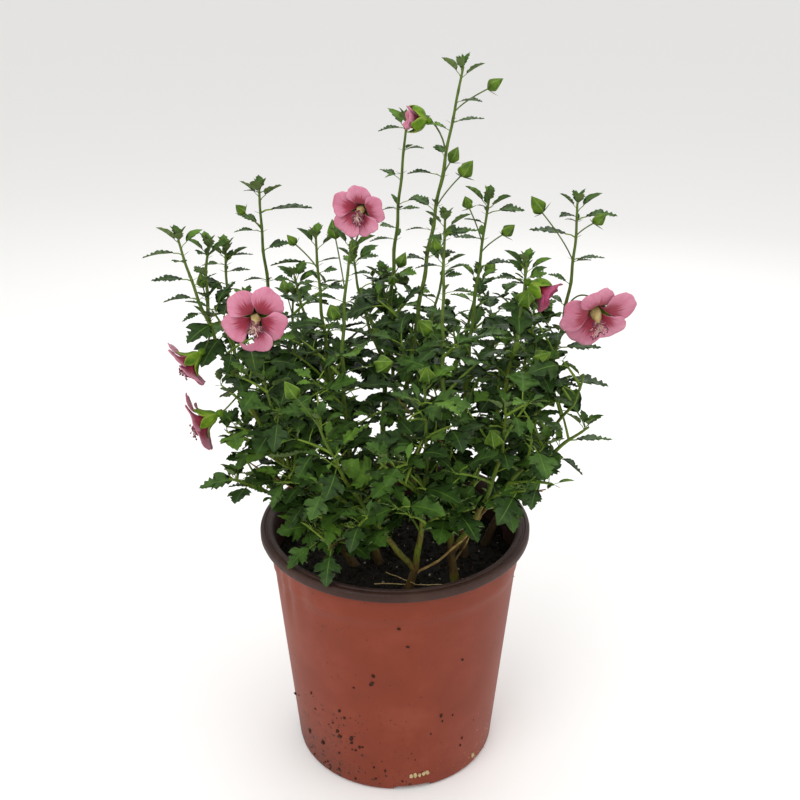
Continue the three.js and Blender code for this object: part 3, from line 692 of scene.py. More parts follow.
# leafy forks further up: the shoot they leave, height, tip, bow
forkPlan = [
    ("left", 262, (-97, 6, 336), (-3, 6, -4)), ("left", 206, (-72, -46, 276), (2, -8, 0)),
    ("left_mid", 224, (-92, 38, 296), (-4, 6, 0)), ("slim", 250, (-60, 26, 314), (-3, 6, 0)),
    ("high", 250, (-26, 60, 318), (-4, 4, 0)), ("tall", 250, (30, 38, 322), (4, 4, 0)),
    ("right", 250, (78, 26, 318), (-2, 5, 0)), ("right", 212, (106, -36, 276), (6, -8, 2)),
    ("front_left", 196, (-72, -52, 234), (-2, -4, 4)), ("front_right", 200, (86, -46, 238), (2, -6, 4)),
    ("front", 210, (-8, -84, 246), (-2, -6, 4)), ("back_left", 206, (-92, 48, 250), (-4, 2, 4)),
    ("back", 216, (12, 100, 256), (2, 4, 4)), ("back_right", 210, (82, 72, 254), (4, 4, 4)),
    ("low_front", 166, (-62, -32, 172), (-2, -4, 5)), ("low_front", 170, (-38, -60, 176), (-2, -4, 3)),
    ("front_left", 186, (-30, -72, 200), (0, -4, 3)), ("inner", 178, (-30, -2, 206), (-2, 4, 3)),
    ("front", 190, (34, -76, 214), (3, -3, 3)), ("left", 206, (-92, -6, 226), (-3, 4, 5)),
    ("left", 300, (-104, -8, 342), (-2, 2, 0)),
]
shootForm = {
    "foot": 3.4,  # radius of a stem at the soil
    "stem": 2.6,
    "bough": 1.9,
    "leafy": 1.6,  # where its leaves start
    "fork": 1.15,
    "tip": 0.65,
}


# a rising line between two ends that bows out at its middle
def bowedLine(start, end, bow):
    return start, (start + end) / 2 + 2 * Vector(bow), end


def pointOn(line, share):
    a, b, c = line
    return a * (1 - share) ** 2 + b * (2 * share * (1 - share)) + c * share ** 2


def headingOn(line, share):
    a, b, c = line
    return ((b - a) * (1 - share) + (c - b) * share).normalized()


def shareAtHeight(line, height):
    low, high = 0.0, 1.0
    for i in range(24):
        middle = (low + high) / 2
        if pointOn(line, middle).z < height:
            low = middle
        else:
            high = middle
    return low


def lineLength(line, start=0.0, end=1.0):
    spots = [pointOn(line, mixed(start, end, i / 16)) for i in range(17)]
    return sum((spots[i + 1] - spots[i]).length for i in range(16))


# points along a line, each with the radius that a round line has there
def chainOn(line, steps, foot, tip):
    return [(pointOn(line, i / steps), mixed(foot, tip, i / steps)) for i in range(steps + 1)]


# every limb and leafy shoot with its line; bare says up to which share it carries no leaves
def planShoots():
    shoots = {}
    for name, (foot, tip, bow, leafFrom) in stemPlan.items():
        line = bowedLine(Vector((*foot, soilForm["level"] - 4)), Vector(tip), bow)
        bare = shareAtHeight(line, leafFrom)
        shoots[name] = {"name": name, "line": line, "bare": bare, "kind": "stem", "mass": name}
    for name, (stem, height, tip, bow, leafFrom) in boughPlan.items():
        parent = shoots[stem]["line"]
        line = bowedLine(pointOn(parent, shareAtHeight(parent, height)), Vector(tip), bow)
        bare = shareAtHeight(line, leafFrom)
        shoots[name] = {"name": name, "line": line, "bare": bare, "kind": "bough", "mass": name}
    for i, (mass, height, tip, bow) in enumerate(forkPlan):
        parent = shoots[mass]["line"]
        line = bowedLine(pointOn(parent, shareAtHeight(parent, height)), Vector(tip), bow)
        shoots[f"fork{i}"] = {"name": f"fork{i}", "line": line, "bare": 0.0, "kind": "fork", "mass": mass}
    return shoots


def girthOf(shoot, share):
    bare = shoot["bare"]
    form = shootForm
    if shoot["kind"] in ("fork", "dead"):
        thick, thin = shoot.get("girth", (form["fork"], form["tip"]))
        return mixed(thick, thin, share)
    if share > bare:
        return mixed(form["leafy"], form["tip"], (share - bare) / (1 - bare))
    if shoot["kind"] == "bough":
        return mixed(form["bough"], form["leafy"], share / bare)
    run = share / bare
    return mixed(form["stem"], form["leafy"], run) + (form["foot"] - form["stem"]) * math.exp(-9 * run)


barkForm = {
    "sides": 14,
    "step": 1.5,
    "ridge": 0.07,
    "rough": 0.06,
    "sway": 0.45,  # how far a limb swings from side to side at its nodes
    "knots": 0.35,
    "knotLength": 1.6,
    "knotStep": 15,
    "youngFrom": 240,  # above this height the bark is smooth
    "aging": 110,  # and this far below it fully ridged
}


# a limb's bark: lengthwise ridges, rough patches, and a swollen ring with a leaf scar at each old node
def limbTube(shoot, start, end, seed, points, faces):
    line = shoot["line"]
    length = lineLength(line, start, end)
    rings = max(3, int(length / barkForm["step"]))
    sides = barkForm["sides"]
    first = len(points)
    side = None
    for i in range(rings + 1):
        share = mixed(start, end, i / rings)
        centre = pointOn(line, share)
        forward = headingOn(line, share)
        side = side or Vector((0, 1, 0)).cross(forward)
        side = (side - forward * side.dot(forward)).normalized()
        other = forward.cross(side)
        radius = girthOf(shoot, share)
        old = smooth((barkForm["youngFrom"] - centre.z) / barkForm["aging"])
        run = length * i / rings + 5 * seed
        knot = int(run / barkForm["knotStep"])
        offKnot = run - (knot + 0.5) * barkForm["knotStep"]
        swing = math.sin(math.pi * run / barkForm["knotStep"])
        centre = centre + side * barkForm["sway"] * swing * math.sin(math.pi * i / rings)
        scarTurn = knot * goldenAngle
        for j in range(sides):
            turn = 2 * math.pi * j / sides
            ridge = noise.noise(Vector((3 * math.cos(turn), 3 * math.sin(turn), run / 22 + seed)))
            rough = noise.noise(Vector((2 * math.cos(turn), 2 * math.sin(turn), run / 2.4 + 7 * seed)))
            facing = 0.5 + 0.5 * math.cos(turn - scarTurn)
            knob = barkForm["knots"] * math.exp(-(offKnot / barkForm["knotLength"]) ** 2)
            bulge = knob * (0.35 + 0.65 * facing ** 3)
            girth = radius * (1 + old * (barkForm["ridge"] * ridge + barkForm["rough"] * rough))
            girth += bulge * (0.5 + 0.5 * old)
            points.append(centre + side * girth * math.cos(turn) + other * girth * math.sin(turn))
    for i in range(rings):
        for j in range(sides):
            k = (j + 1) % sides
            low = first + i * sides
            faces.append((low + j, low + k, low + sides + k, low + sides + j))
    faces.append(tuple(first + j for j in reversed(range(sides))))
    faces.append(tuple(first + rings * sides + j for j in range(sides)))


# young bark: brown and rough at the foot, olive and then fresh green and satiny higher up
def makeGreenBark():
    look = {"Roughness": 0.62, "IOR": 1.45, "Specular IOR Level": 0.3}
    material, tree, shader = startMaterial("youngMallowBark", look)
    place = addNode(tree, "ShaderNodeTexCoord").outputs["Object"]
    height = addNode(tree, "ShaderNodeSeparateXYZ", {}, {"Vector": place}).outputs["Z"]
    wander = addNode(tree, "ShaderNodeTexNoise", {"Scale": 1 / (34 * mm), "Detail": 2}, {"Vector": place})
    age = addNode(tree, "ShaderNodeMath", {"operation": "MULTIPLY_ADD", 1: 0.30}, {0: wander, 2: height})
    share = addNode(tree, "ShaderNodeMapRange", {"From Min": 0.275, "From Max": 0.42}, {"Value": age})
    stops = [(0.0, "#43331c"), (0.22, "#5f4c27"), (0.42, "#62641f"), (0.68, "#5c731b"), (1.0, "#566b24")]
    base = addNode(tree, "ShaderNodeValToRGB", {"stops": stops}, {"Fac": share})
    long = addNode(tree, "ShaderNodeMapping", {"Scale": (1, 1, 0.2)}, {"Vector": place})
    fibre = addNode(tree, "ShaderNodeTexNoise", {"Scale": 1 / (1.0 * mm), "Detail": 4, "Roughness": 0.7},
                    {"Vector": long})
    shade = addNode(tree, "ShaderNodeValToRGB", {"stops": [(0.3, "#8a8a8a"), (0.5, "#ffffff")]},
                    {"Fac": fibre})
    base = addNode(tree, "ShaderNodeMix", {"data_type": "RGBA", "blend_type": "MULTIPLY", 0: 1.0},
                   {6: base, 7: shade})
    endFinish(tree, shader, base.outputs[2], [], fibre, 0.35, 0.25)
    return material


# dead wood: dry straw to grey brown with a fine grain
def makeDeadBark():
    look = {"Roughness": 0.85, "IOR": 1.45, "Specular IOR Level": 0.3}
    stops = [(0.3, "#4b3720"), (0.5, "#7d6538"), (0.72, "#ad955f")]
    return makeGrainyFinish("dryDeadTwig", look, (6, 4, 0.7), stops, (6, 4, 0.7, 0.4, 0.2))


def makeLimbs(shoots, finish):
    points, faces = [], []
    for i, shoot in enumerate(shoots.values()):
        if shoot["kind"] != "fork":
            limbTube(shoot, 0.0, shoot["bare"], i, points, faces)
    obj = buildMesh("stemBark", points, faces, [finish])
    names = ["stem_" + name for name in stemPlan] + ["bough_" + name for name in boughPlan]
    handOver(obj, names)


def makeShoots(shoots, finish):
    points, faces = [], []
    for i, shoot in enumerate(shoots.values()):
        limbTube(shoot, max(0.0, shoot["bare"] - 0.004), 1.0, i, points, faces)
    return buildMesh("leafyShoots", points, faces, [finish])


# dead twigs and stubs: the stem or bough that carries each, height, tip, bow, girth at foot and tip
deadPlan = [
    ("front", 152, (50, -56, 196), (2, -3, -2), (0.85, 0.4)),
    ("left", 168, (-72, 4, 212), (-2, 6, 4), (0.9, 0.5)),
    ("front", 158, (-3, -47, 180), (-3, -1, 0), (0.8, 0.45)),
    ("right_mid", 150, (64, -10, 196), (2, -2, 1), (0.6, 0.35)),
    ("right", 176, (95, 2, 182), (0, -2, 1), (0.7, 0.4)),
    ("left", 184, (-62, -24, 206), (0, 0, 0), (1.5, 1.2)),
    ("middle", 152, (46, -42, 180), (1, 0, 0), (0.6, 0.4)),
    ("high", 168, (14, 30, 214), (3, 0, 1), (0.8, 0.4)),
    ("slim", 172, (-30, -12, 216), (-2, -2, 0), (0.7, 0.35)),
    ("back", 160, (30, 78, 206), (2, 2, 2), (0.7, 0.4)),
    ("middle", 232, (2, -36, 262), (-2, -2, 0), (0.6, 0.35)),
    ("left_mid", 196, (-30, 20, 236), (2, -3, 0), (0.7, 0.35)),
    ("right", 182, (88, -30, 198), (-1, -4, 2), (0.6, 0.3)),
    ("middle", 174, (56, -44, 197), (2, -2, -1), (0.6, 0.35)),
    ("left", 172, (-58, -30, 218), (0, -3, 0), (1.1, 0.9)),
    ("inner", 176, (-88, -34, 222), (4, -4, -4), (0.8, 0.4)),
]


def makeDeadTwigs(shoots, finish):
    points, faces = [], []
    for i, (carrier, height, tip, bow, girth) in enumerate(deadPlan):
        parent = shoots[carrier]["line"]
        line = bowedLine(pointOn(parent, shareAtHeight(parent, height)), Vector(tip), bow)
        limbTube({"line": line, "bare": 0.0, "kind": "dead", "girth": girth}, 0.0, 1.0, 40 + i, points, faces)
    twigs = buildMesh("deadTwigs", points, faces, [finish])
    handOver(twigs, ["dead_twig_front", "dead_twig_left"])


# straws on the soil: both ends, girth, and how far the second end stands up
strawPlan = [((-12.5, -43), (31.6, -44), 0.32, 0), ((-5.4, -30), (12, -52), 0.3, 6)]


def makeStraws(finish):
    chains = []
    for (x0, y0), (x1, y1), girth, lift in strawPlan:
        chain = []
        for i in range(9):
            x, y = mixed(x0, x1, i / 8), mixed(y0, y1, i / 8)
            ground = soilHeight(soilForm, x, y, math.hypot(x, y))
            height = ground + 1.6 + 0.5 * math.sin(0.4 * i) + lift * i / 8
            chain.append((Vector((x, y, height)), girth * (1 - 0.3 * i / 8)))
        chains.append(chain)
    return makeLines("straws", chains, 6, finish, lineTree)


flowerPlan = [
    {"mass": "left", "centre": (-74, -50, 314), "faces": (0.05, -0.98, 0.02), "width": 38, "open": 1.0,
     "node": 286, "firstPetal": 270, "torn": 0},
    {"mass": "inner", "centre": (-18, -36, 369), "faces": (-0.3, -0.92, -0.1), "width": 31, "open": 0.9,
     "node": 338, "firstPetal": 84},
    {"mass": "right", "centre": (113, -22, 308), "faces": (0.15, -0.9, -0.4), "width": 44, "open": 1.0,
     "node": 300, "firstPetal": 102},
    {"mass": "left", "centre": (-113, -40, 285), "faces": (-0.75, -0.22, -0.6), "width": 32, "open": 0.96,
     "node": 268, "firstPetal": 60},
    {"mass": "left", "centre": (-106, -50, 254), "faces": (-0.91, -0.15, -0.37), "width": 36, "open": 0.96,
     "node": 246, "firstPetal": 40},
    {"mass": "tall", "centre": (9, 3, 410), "faces": (-0.95, -0.2, 0.15), "width": 13, "open": 0.28,
     "node": 368, "firstPetal": 20, "calyx": 11.5},
    {"mass": "right", "centre": (85, -20, 317), "faces": (0.8, -0.35, -0.5), "width": 20, "open": 0.4,
     "node": 280, "firstPetal": 70, "furled": True},
]
# buds: shoot, centre, how far below its node lies, size against a common bud
budPlan = [
    ("tall", (54, 8, 427), 14, 0.9), ("tall", (33, 12, 388), 12, 0.9), ("tall", (39, -6, 384), 24, 1.1),
    ("right_mid", (41, 0, 364), 26, 0.8), ("right_mid", (64, 2, 348), 15, 0.9),
    ("right", (80, -2, 363), 34, 1.1), ("right", (114, -4, 356), 12, 0.9),
    ("left_mid", (-86, 2, 360), 14, 0.75), ("slim", (-57, -8, 345), 18, 0.7),
    ("inner", (-33, -14, 352), 32, 1.0), ("high", (-1, 12, 316), 14, 0.9),
    ("middle", (23, -24, 347), 12, 0.8), ("middle", (17, -40, 305), 16, 1.25),
    ("front", (17, -72, 290), 16, 1.15), ("inner", (-6, -54, 289), 16, 1.3),
    ("right_inner", (72, -30, 318), 14, 1.3), ("right_inner", (82, -32, 284), 16, 1.2),
    ("front_right", (54, -70, 252), 16, 1.35), ("inner", (-33, -38, 313), 16, 1.0),
    ("front_left", (-54, -70, 280), 26, 1.1), ("left", (-108, -14, 323), 14, 0.8),
    ("back", (4, 92, 304), 22, 1.0), ("back_left", (-72, 78, 290), 16, 1.0),
    ("back_right", (62, 84, 302), 16, 1.0), ("far_right", (97, 58, 282), 14, 1.0),
]


# a stalk leaves the nearest of its mass's shoots at a height, rises, and nods over to its flower
def planStalk(shoots, mass, centre, facing, back, height):
    starts = []
    for shoot in shoots.values():
        if shoot["mass"] == mass:
            share = min(0.98, max(shoot["bare"] + 0.01, shareAtHeight(shoot["line"], height)))
            starts.append(pointOn(shoot["line"], share))
    start = min(starts, key=lambda spot: (spot - centre).length)
    facing = (Vector(facing) if facing else centre - start).normalized()
    end = centre - facing * back
    reach = (end - start).length
    middle = start.lerp(end, 0.55) - facing * 0.3 * reach + up * 0.12 * reach
    return facing, (start, middle, end)


growth = {
    "lowLeaf": 21,  # blade length in the bushy part
    "highLeaf": 12,  # and at a shoot's tip
    "bushTop": 300,  # height where the bushy part ends
    "thinFrom": 248,  # above this the leaves stand wider apart
    "thinning": 1.1,
    "lowStep": 8.0,  # spacing of leaves along a shoot
    "highStep": 15,
    "sideTwig": 36,
    "sideStep": 7.5,
    "spacing": 6.5,  # least distance between the middles of two blades
    "cell": 8,  # of the grid that finds the blades close by
    "pastLow": 11,  # how far a blade may pass the lower corner of the solids' box
    "pastHigh": 3,  # and its upper corner
    "skirtTop": 190,  # below this height blades keep within the next radius
    "skirt": 70,
    "seed": 101,
}
# leaves of the upper shoots, one by one: height, length with the stalk, direction (0 right, 180 left)
placedLeaves = {
    "tall": [(411, 18, 3), (382, 20, 172), (365, 19, 5), (350, 15, 184), (334, 17, 12)],
    "high": [(404, 16, 190), (391, 12, 8), (377, 10, 201), (356, 10, 193), (356, 13, -3), (338, 16, 185)],
    "left_mid": [(370, 9, 169), (370, 8, 13), (363, 32, 4), (348, 16, 182), (317, 14, 178), (316, 13, 5)],
    "left": [(345, 22, 184), (331, 22, 182), (311, 13, 212), (320, 20, 192), (298, 24, 193)],
    "fork0": [(335, 16, -6), (330, 14, 185), (326, 14, -5), (320, 18, 184)],
    "slim": [(335, 27, 180), (327, 12, 22), (322, 13, 207), (318, 16, 0)],
    "inner": [(340, 18, 26), (330, 15, 190), (318, 18, 20)],
    "middle": [(354, 19, 3), (349, 10, 174), (336, 16, 188), (322, 18, -4)],
    "right_mid": [(360, 7, 157), (360, 22, 3), (344, 17, 186), (328, 20, 8)],
    "right_inner": [(328, 18, 169), (326, 9, -31)],
    "right": [(358, 23, 7), (354, 8, 159), (349, 27, 179), (334, 18, -2), (281, 27, -8), (260, 37, -1),
              (256, 20, -7)],
    "low_right": [(227, 28, -4), (217, 25, -52)],
    "low_left": [(203, 21, 178)],
}


# larger leaves of the bush's near side, one by one: blade's foot, its tip, the way it faces, tint, kind; the
# tint is partly the leaf's own green and partly painted shade, darker on the leaves that lie in shadow
nearLeaves = [
    ((16, -74, 268), (37, -86, 282), (0.0, -0.35, 1.0), "mid", "d_lobed"),
    ((-12, -60, 221), (-28, -66, 235), (0.1, -0.7, 0.7), "fresh", "b_broad"),
    ((23, -58, 221), (20, -70, 204), (0.0, -0.8, 0.6), "mid", "c_lobed"),
    ((25, -57, 219), (38, -66, 212), (0.2, -0.6, 0.8), "mid", "a_broad"),
    ((56, -40, 211), (61, -48, 197), (0.1, -0.8, 0.5), "deep", "d_lobed"),
    ((61, -40, 223), (82, -50, 211), (0.3, -0.6, 0.8), "mid", "a_broad"),
    ((64, -36, 226), (74, -50, 204), (0.1, -0.8, 0.5), "deep", "c_lobed"),
    ((-49, -52, 172), (-62, -62, 166), (-0.1, -0.4, 1.0), "mid", "c_lobed"),
    ((-37, -62, 173), (-39, -79, 165), (0.0, -0.6, 0.8), "deep", "c_lobed"),
    ((-51, -40, 178), (-68, -46, 181), (-0.1, -0.5, 1.0), "mid", "d_lobed"),
    ((-51, -41, 177), (-48, -52, 171), (0.1, -0.6, 0.8), "mid", "c_lobed"),
    ((-26, -30, 173), (-14, -40, 166), (0.2, -0.5, 0.9), "mid", "d_lobed"),
    ((-1, -44, 186), (-15, -54, 173), (-0.1, -0.7, 0.7), "mid", "c_lobed"),
    ((-96, -20, 199), (-118, -20, 196), (0.0, -0.4, 1.0), "mid", "e_narrow"),
]


# half a leaf's outline from its stalk to its tip: share along the rib, share out from it
leafOutline = [(0, 0), (0.04, 0.09), (0.14, 0.25), (0.19, 0.22), (0.29, 0.40), (0.35, 0.37), (0.44, 0.48),
               (0.50, 0.42), (0.60, 0.46), (0.57, 0.33), (0.61, 0.23), (0.70, 0.30), (0.74, 0.22),
               (0.84, 0.21), (0.87, 0.13), (0.95, 0.09), (1, 0)]
youngOutline = [(0, 0), (0.10, 0.16), (0.26, 0.36), (0.33, 0.29), (0.50, 0.40), (0.57, 0.27), (0.76, 0.27),
                (0.81, 0.14), (1, 0)]
scaleOutline = [(0, 0), (0.25, 0.5), (0.65, 0.4), (1, 0)]
# kinds of leaf: breadth, how far the lobes are cut in, fold, droop, ripple, twist, stalk length and rise
leafKinds = {
    "a_broad": (1.0, 1.0, 0.10, 0.10, 0.030, 0.10, 0.45, 0.10),
    "b_broad": (0.94, 0.8, 0.22, 0.24, 0.035, -0.25, 0.40, 0.12),
    "c_lobed": (0.92, 1.6, 0.16, 0.18, 0.030, 0.20, 0.50, 0.10),
    "d_lobed": (1.04, 1.4, 0.04, 0.30, 0.045, -0.15, 0.42, 0.12),
    "e_narrow": (0.70, 1.0, 0.24, 0.16, 0.030, 0.15, 0.30, 0.10),
    "f_narrow": (0.62, 1.2, 0.14, 0.06, 0.025, -0.10, 0.28, 0.08),
    "g_young": (0.62, 1.0, 0.50, 0.05, 0.030, 0.0, 0.30, 0.08),
    "h_scale": (0.18, 1.0, 0.20, -0.12, 0.0, 0.0, 0.03, 0.0),
    "i_fan": (0.84, 1.0, 0.46, 0.10, 0.040, 0.15, 0.42, 0.12),
}
outlines = {"g_young": youngOutline, "i_fan": youngOutline, "h_scale": scaleOutline}
leafForm = {
    "rib": 0.017,  # half the rib's width, as a share of the blade's length
    "ribLift": 0.006,
    "underRib": 0.034,
    "stalk": 0.022,
    "stalkSteps": 2,
    "ribPlaces": [0, 0.22, 0.48, 0.74, 1.0],
    "sinuses": (9, 10, 12),  # points of the outline that lie between two lobes
}


# one blade: an upper and an under sheet that meet at the toothed rim, a pale rib strip and a stalk
def leafTemplate(name, kind):
    breadth, cut, fold, droop, ripple, twist, stalk, rise = kind
    half = outlines.get(name, leafOutline)
    outline = []
    for i, (along, out) in enumerate(half):
        sinus = half is leafOutline and i in leafForm["sinuses"]
        outline.append((along, breadth * out * (1 - 0.28 * (cut - 1) if sinus else 1)))
    last = len(outline) - 1
    ribPlaces = leafForm["ribPlaces"]
    end = len(ribPlaces) - 1

    def place(along, out, lift=0.0):
        height = fold * abs(out) - droop * along ** 2 + 0.10 * along * (1 - along) + lift
        turn = twist * along
        return Vector((stalk + along, out * math.cos(turn) - height * math.sin(turn),
                       rise + out * math.sin(turn) + height * math.cos(turn)))

    points, faces, zones = [], [], []
    rows = {}

    def addPoint(row, i, spot):
        rows[row, i] = len(points)
        points.append(spot)

    def addFace(corners, zone):
        if len(set(corners)) == 3:
            faces.append(corners)
            zones.append(zone)

    for k, along in enumerate(ribPlaces):
        narrow = leafForm["rib"] * (1 - 0.75 * along)
        if k in (0, end):
            addPoint("rib+", k, place(along, 0))
            rows["rib-", k] = rows["under", k] = rows["rib+", k]
            continue
        addPoint("rib+", k, place(along, narrow, leafForm["ribLift"]))
        addPoint("rib-", k, place(along, -narrow, leafForm["ribLift"]))
        addPoint("under", k, place(along, 0, -leafForm["underRib"] * (1 - 0.7 * along)))
    nearest = []
    for i, (along, out) in enumerate(outline):
        root = along - 0.4 * out
        closest = min(range(end + 1), key=lambda k: abs(ribPlaces[k] - root))
        nearest.append(end if i == last else max([closest if i else 0] + nearest[-1:]))
        for row, side in (("rim+", 1), ("rim-", -1)):
            if i in (0, last):
                rows[row, i] = rows["rib+", end if i else 0]
            else:
                addPoint(row, i, place(along, side * out, ripple * (1 if i % 2 else -1)))
    # both sheets take the same diagonals, so that the under one stays below
    for side, order in (("+", 1), ("-", -1)):
        for row, zone, facing in (("rib" + side, 0, order), ("under", 1, -order)):
            for i in range(last):
                this, following = rows["rim" + side, i], rows["rim" + side, i + 1]
                addFace((rows[row, nearest[i]], following, this)[::facing], zone)
                for k in range(nearest[i], nearest[i + 1]):
                    addFace((rows[row, k], rows[row, k + 1], following)[::facing], zone)
    for k in range(end):
        addFace((rows["rib-", k], rows["rib-", k + 1], rows["rib+", k + 1]), 3)
        addFace((rows["rib-", k], rows["rib+", k + 1], rows["rib+", k]), 3)
    rim = [(rows[row, i], rows[row, i + 1]) for i in range(last) for row in ("rim+", "rim-")]
    first = len(points)
    line = (Vector((-0.02, 0, 0)), Vector((0.45 * stalk, 0, rise * 1.15)),
            Vector((stalk + 0.03, 0, rise - 0.01)))
    steps = leafForm["stalkSteps"]
    for i in range(steps + 1):
        forward = headingOn(line, i / steps)
        side = Vector((0, 1, 0))
        for j in range(3):
            turn = 2 * math.pi * j / 3 + 0.5
            outward = side * math.cos(turn) + side.cross(forward) * math.sin(turn)
            points.append(pointOn(line, i / steps) + leafForm["stalk"] * outward)
    for i in range(steps):
        for j in range(3):
            low, k = first + 3 * i, (j + 1) % 3
            addFace((low + j, low + 3 + j, low + 3 + k), 2)
            addFace((low + j, low + 3 + k, low + k), 2)
    addFace((first, first + 1, first + 2), 2)
    obj = buildMesh(name, [point / mm for point in points], faces, [], None, rim)
    obj.data.attributes.new("part", "INT", "FACE").data.foreach_set("value", zones)
    return obj


def makeLeafTree():
    tree, given = newTree("leafSpray", [
        ("Leaves", "Collection", None), ("Upper", "Material", None), ("Under", "Material", None),
        ("Stalk", "Material", None), ("Rib", "Material", None)])
    parcel = addNode(tree, "GeometryNodeCollectionInfo", {"Separate Children": True, "Reset Children": True},
                     {"Collection": given["Leaves"]})
    own = {}
    for label, kind in (("kind", "INT"), ("turn", "QUATERNION"), ("size", "FLOAT"), ("part", "INT")):
        own[label] = addNode(tree, "GeometryNodeInputNamedAttribute", {"data_type": kind, "Name": label})
    placed = addNode(tree, "GeometryNodeInstanceOnPoints", {"Pick Instance": True},
                     {"Points": given["Geometry"], "Instance": parcel, "Instance Index": own["kind"],
                      "Rotation": own["turn"], "Scale": own["size"]})
    finishes = [(None, given["Upper"])]
    for zone, label in ((1, "Under"), (2, "Stalk"), (3, "Rib")):
        chosen = addNode(tree, "FunctionNodeCompare", {"data_type": "INT", "operation": "EQUAL", 3: zone},
                         {2: own["part"]})
        finishes.append((chosen, given[label]))
    return endTree(tree, placed, finishes)


# living leaf: matt with a faint waxy sheen, finely quilted between its veins
def makeLeafFinish(name, dark, mean, light, roughness):
    look = {"Roughness": roughness, "IOR": 1.45, "Specular IOR Level": 0.22}
    stops = [(0.32, dark), (0.5, mean), (0.7, light)]
    material, tree, shader, place, base = startFinish(name, look, (7, 3, 0.6), stops)
    quilt = addNode(tree, "ShaderNodeTexVoronoi", {"Scale": 1 / (1.6 * mm)}, {"Vector": place})
    endFinish(tree, shader, base, [], quilt, 0.4, 0.35)
    return material


# how far the bushy part reaches: height, to the left, to the right
crownReach = [(150, -74, 70), (176, -78, 78), (190, -82, 86), (201, -98, 93), (217, -104, 99),
              (244, -105, 101), (277, -117, 106), (308, -113, 103), (330, -118, 112), (450, -130, 130)]


def reachAt(side, height):
    for low, high in zip(crownReach, crownReach[1:]):
        if height < high[0]:
            share = max(0, (height - low[0]) / (high[0] - low[0]))
            return mixed(low[1 + side], high[1 + side], share)
    return crownReach[-1][1 + side]


class Sprays:
    def __init__(self):
        self.leaves = {"deep": [], "mid": [], "fresh": []}
        self.twigs = []
        self.middles = {}
        self.keepOut = []

    def cellOf(self, middle):
        return tuple(int(math.floor(value / growth["cell"])) for value in middle)

    # whether a blade is clear of other blades' middles, of flowers and pot, and within the plant's reach
    def isFree(self, middle, end, spacing, placed=False):
        low, high = Vector(cadBox[0]) / mm, Vector(cadBox[1]) / mm
        for i in range(3):
            if not low[i] - growth["pastLow"] < end[i] < high[i] + growth["pastHigh"]:
                return False
        if not placed and not reachAt(0, end.z) < end.x < reachAt(1, end.z):
            return False
        if end.z < soilForm["level"] + 3 or middle.z < soilForm["level"] + 4:
            return False
        if not placed and end.z < growth["skirtTop"] and math.hypot(end.x, end.y) > growth["skirt"]:
            return False
        for point in (middle, end):
            spread = math.hypot(point.x, point.y)
            if point.z < potForm["height"] + 3 and spread > potForm["neckRadius"] - 5:
                return False
        for centre, facing, radius in self.keepOut:
            for point in (middle, end):
                offset = point - centre
                along = offset.dot(facing)
                if -5 < along < 70 and (offset - facing * along).length < radius:
                    return False
        cell = self.cellOf(middle)
        for dx in (-1, 0, 1):
            for dy in (-1, 0, 1):
                for dz in (-1, 0, 1):
                    for other in self.middles.get((cell[0] + dx, cell[1] + dy, cell[2] + dz), ()):
                        if (other - middle).length < spacing:
                            return False
        return True

    def remember(self, middle):
        self.middles.setdefault(self.cellOf(middle), []).append(middle)

    def addLeaf(self, tint, root, forward, flat, size, kind, spacing, placed=False):
        stalk = leafKinds[kind][6]
        middle = root + forward * size * (stalk + 0.5)
        end = root + forward * size * (stalk + 1)
        if not self.isFree(middle, end, spacing, placed):
            return False
        if kind != "h_scale":
            self.remember(middle)
        self.leaves[tint].append((root, forward, flat, size, sorted(leafKinds).index(kind)))
        return True


# a leaf's heading: outwards from its shoot, a little up or down, its blade near level
def leafHeading(tangent, angle, lift, roll):
    across, beside = planeOf(tangent)
    out = across * math.cos(angle) + beside * math.sin(angle)
    out.z *= 0.5
    forward = (out.normalized() + up * lift + tangent * 0.25).normalized()
    flat = (up - forward * up.dot(forward)).normalized()
    return forward, Matrix.Rotation(roll, 3, forward) @ flat


# a tuft of young leaves in a leaf's armpit, with its pair of narrow dark scales
def addTuft(sprays, root, tangent, angle, dice, count, size):
    for i in range(count):
        turn = angle + 1.9 * i + 1.2 * dice() - 0.6
        forward, flat = leafHeading(tangent, turn, 0.25 + 0.6 * dice(), 0.6 * dice() - 0.3)
        tint = chooseTint(root, dice, True)
        grown = size * (0.6 + 0.7 * dice())
        sprays.addLeaf(tint, root, forward, flat, grown, "g_young", 3.0)
    for side in (-1, 1):
        forward, flat = leafHeading(tangent, angle + side * 1.4, 0.1, 0)
        sprays.addLeaf("deep", root, forward, flat, 4.2, "h_scale", 0.0)


# leaves above 330 mm and leaves at the front (y below -30) lean to the lighter tints, and leaves behind lean
# to the deep one: painted light on the lit top and front, painted shade at the back; the lift for young
# leaves is their real colour
def chooseTint(point, dice, young):
    roll = dice() + (0.35 if young else 0)
    if point.z > 330:
        roll += 0.1
    roll += 0.10 if point.y < -30 else -0.10
    return "fresh" if roll > 1.02 else "mid" if roll > 0.55 else "deep"


def chooseKind(dice, narrow):
    names = ["e_narrow", "f_narrow", "c_lobed"] if narrow else ["a_broad", "b_broad", "c_lobed", "d_lobed"]
    return names[int(dice() * len(names)) % len(names)]


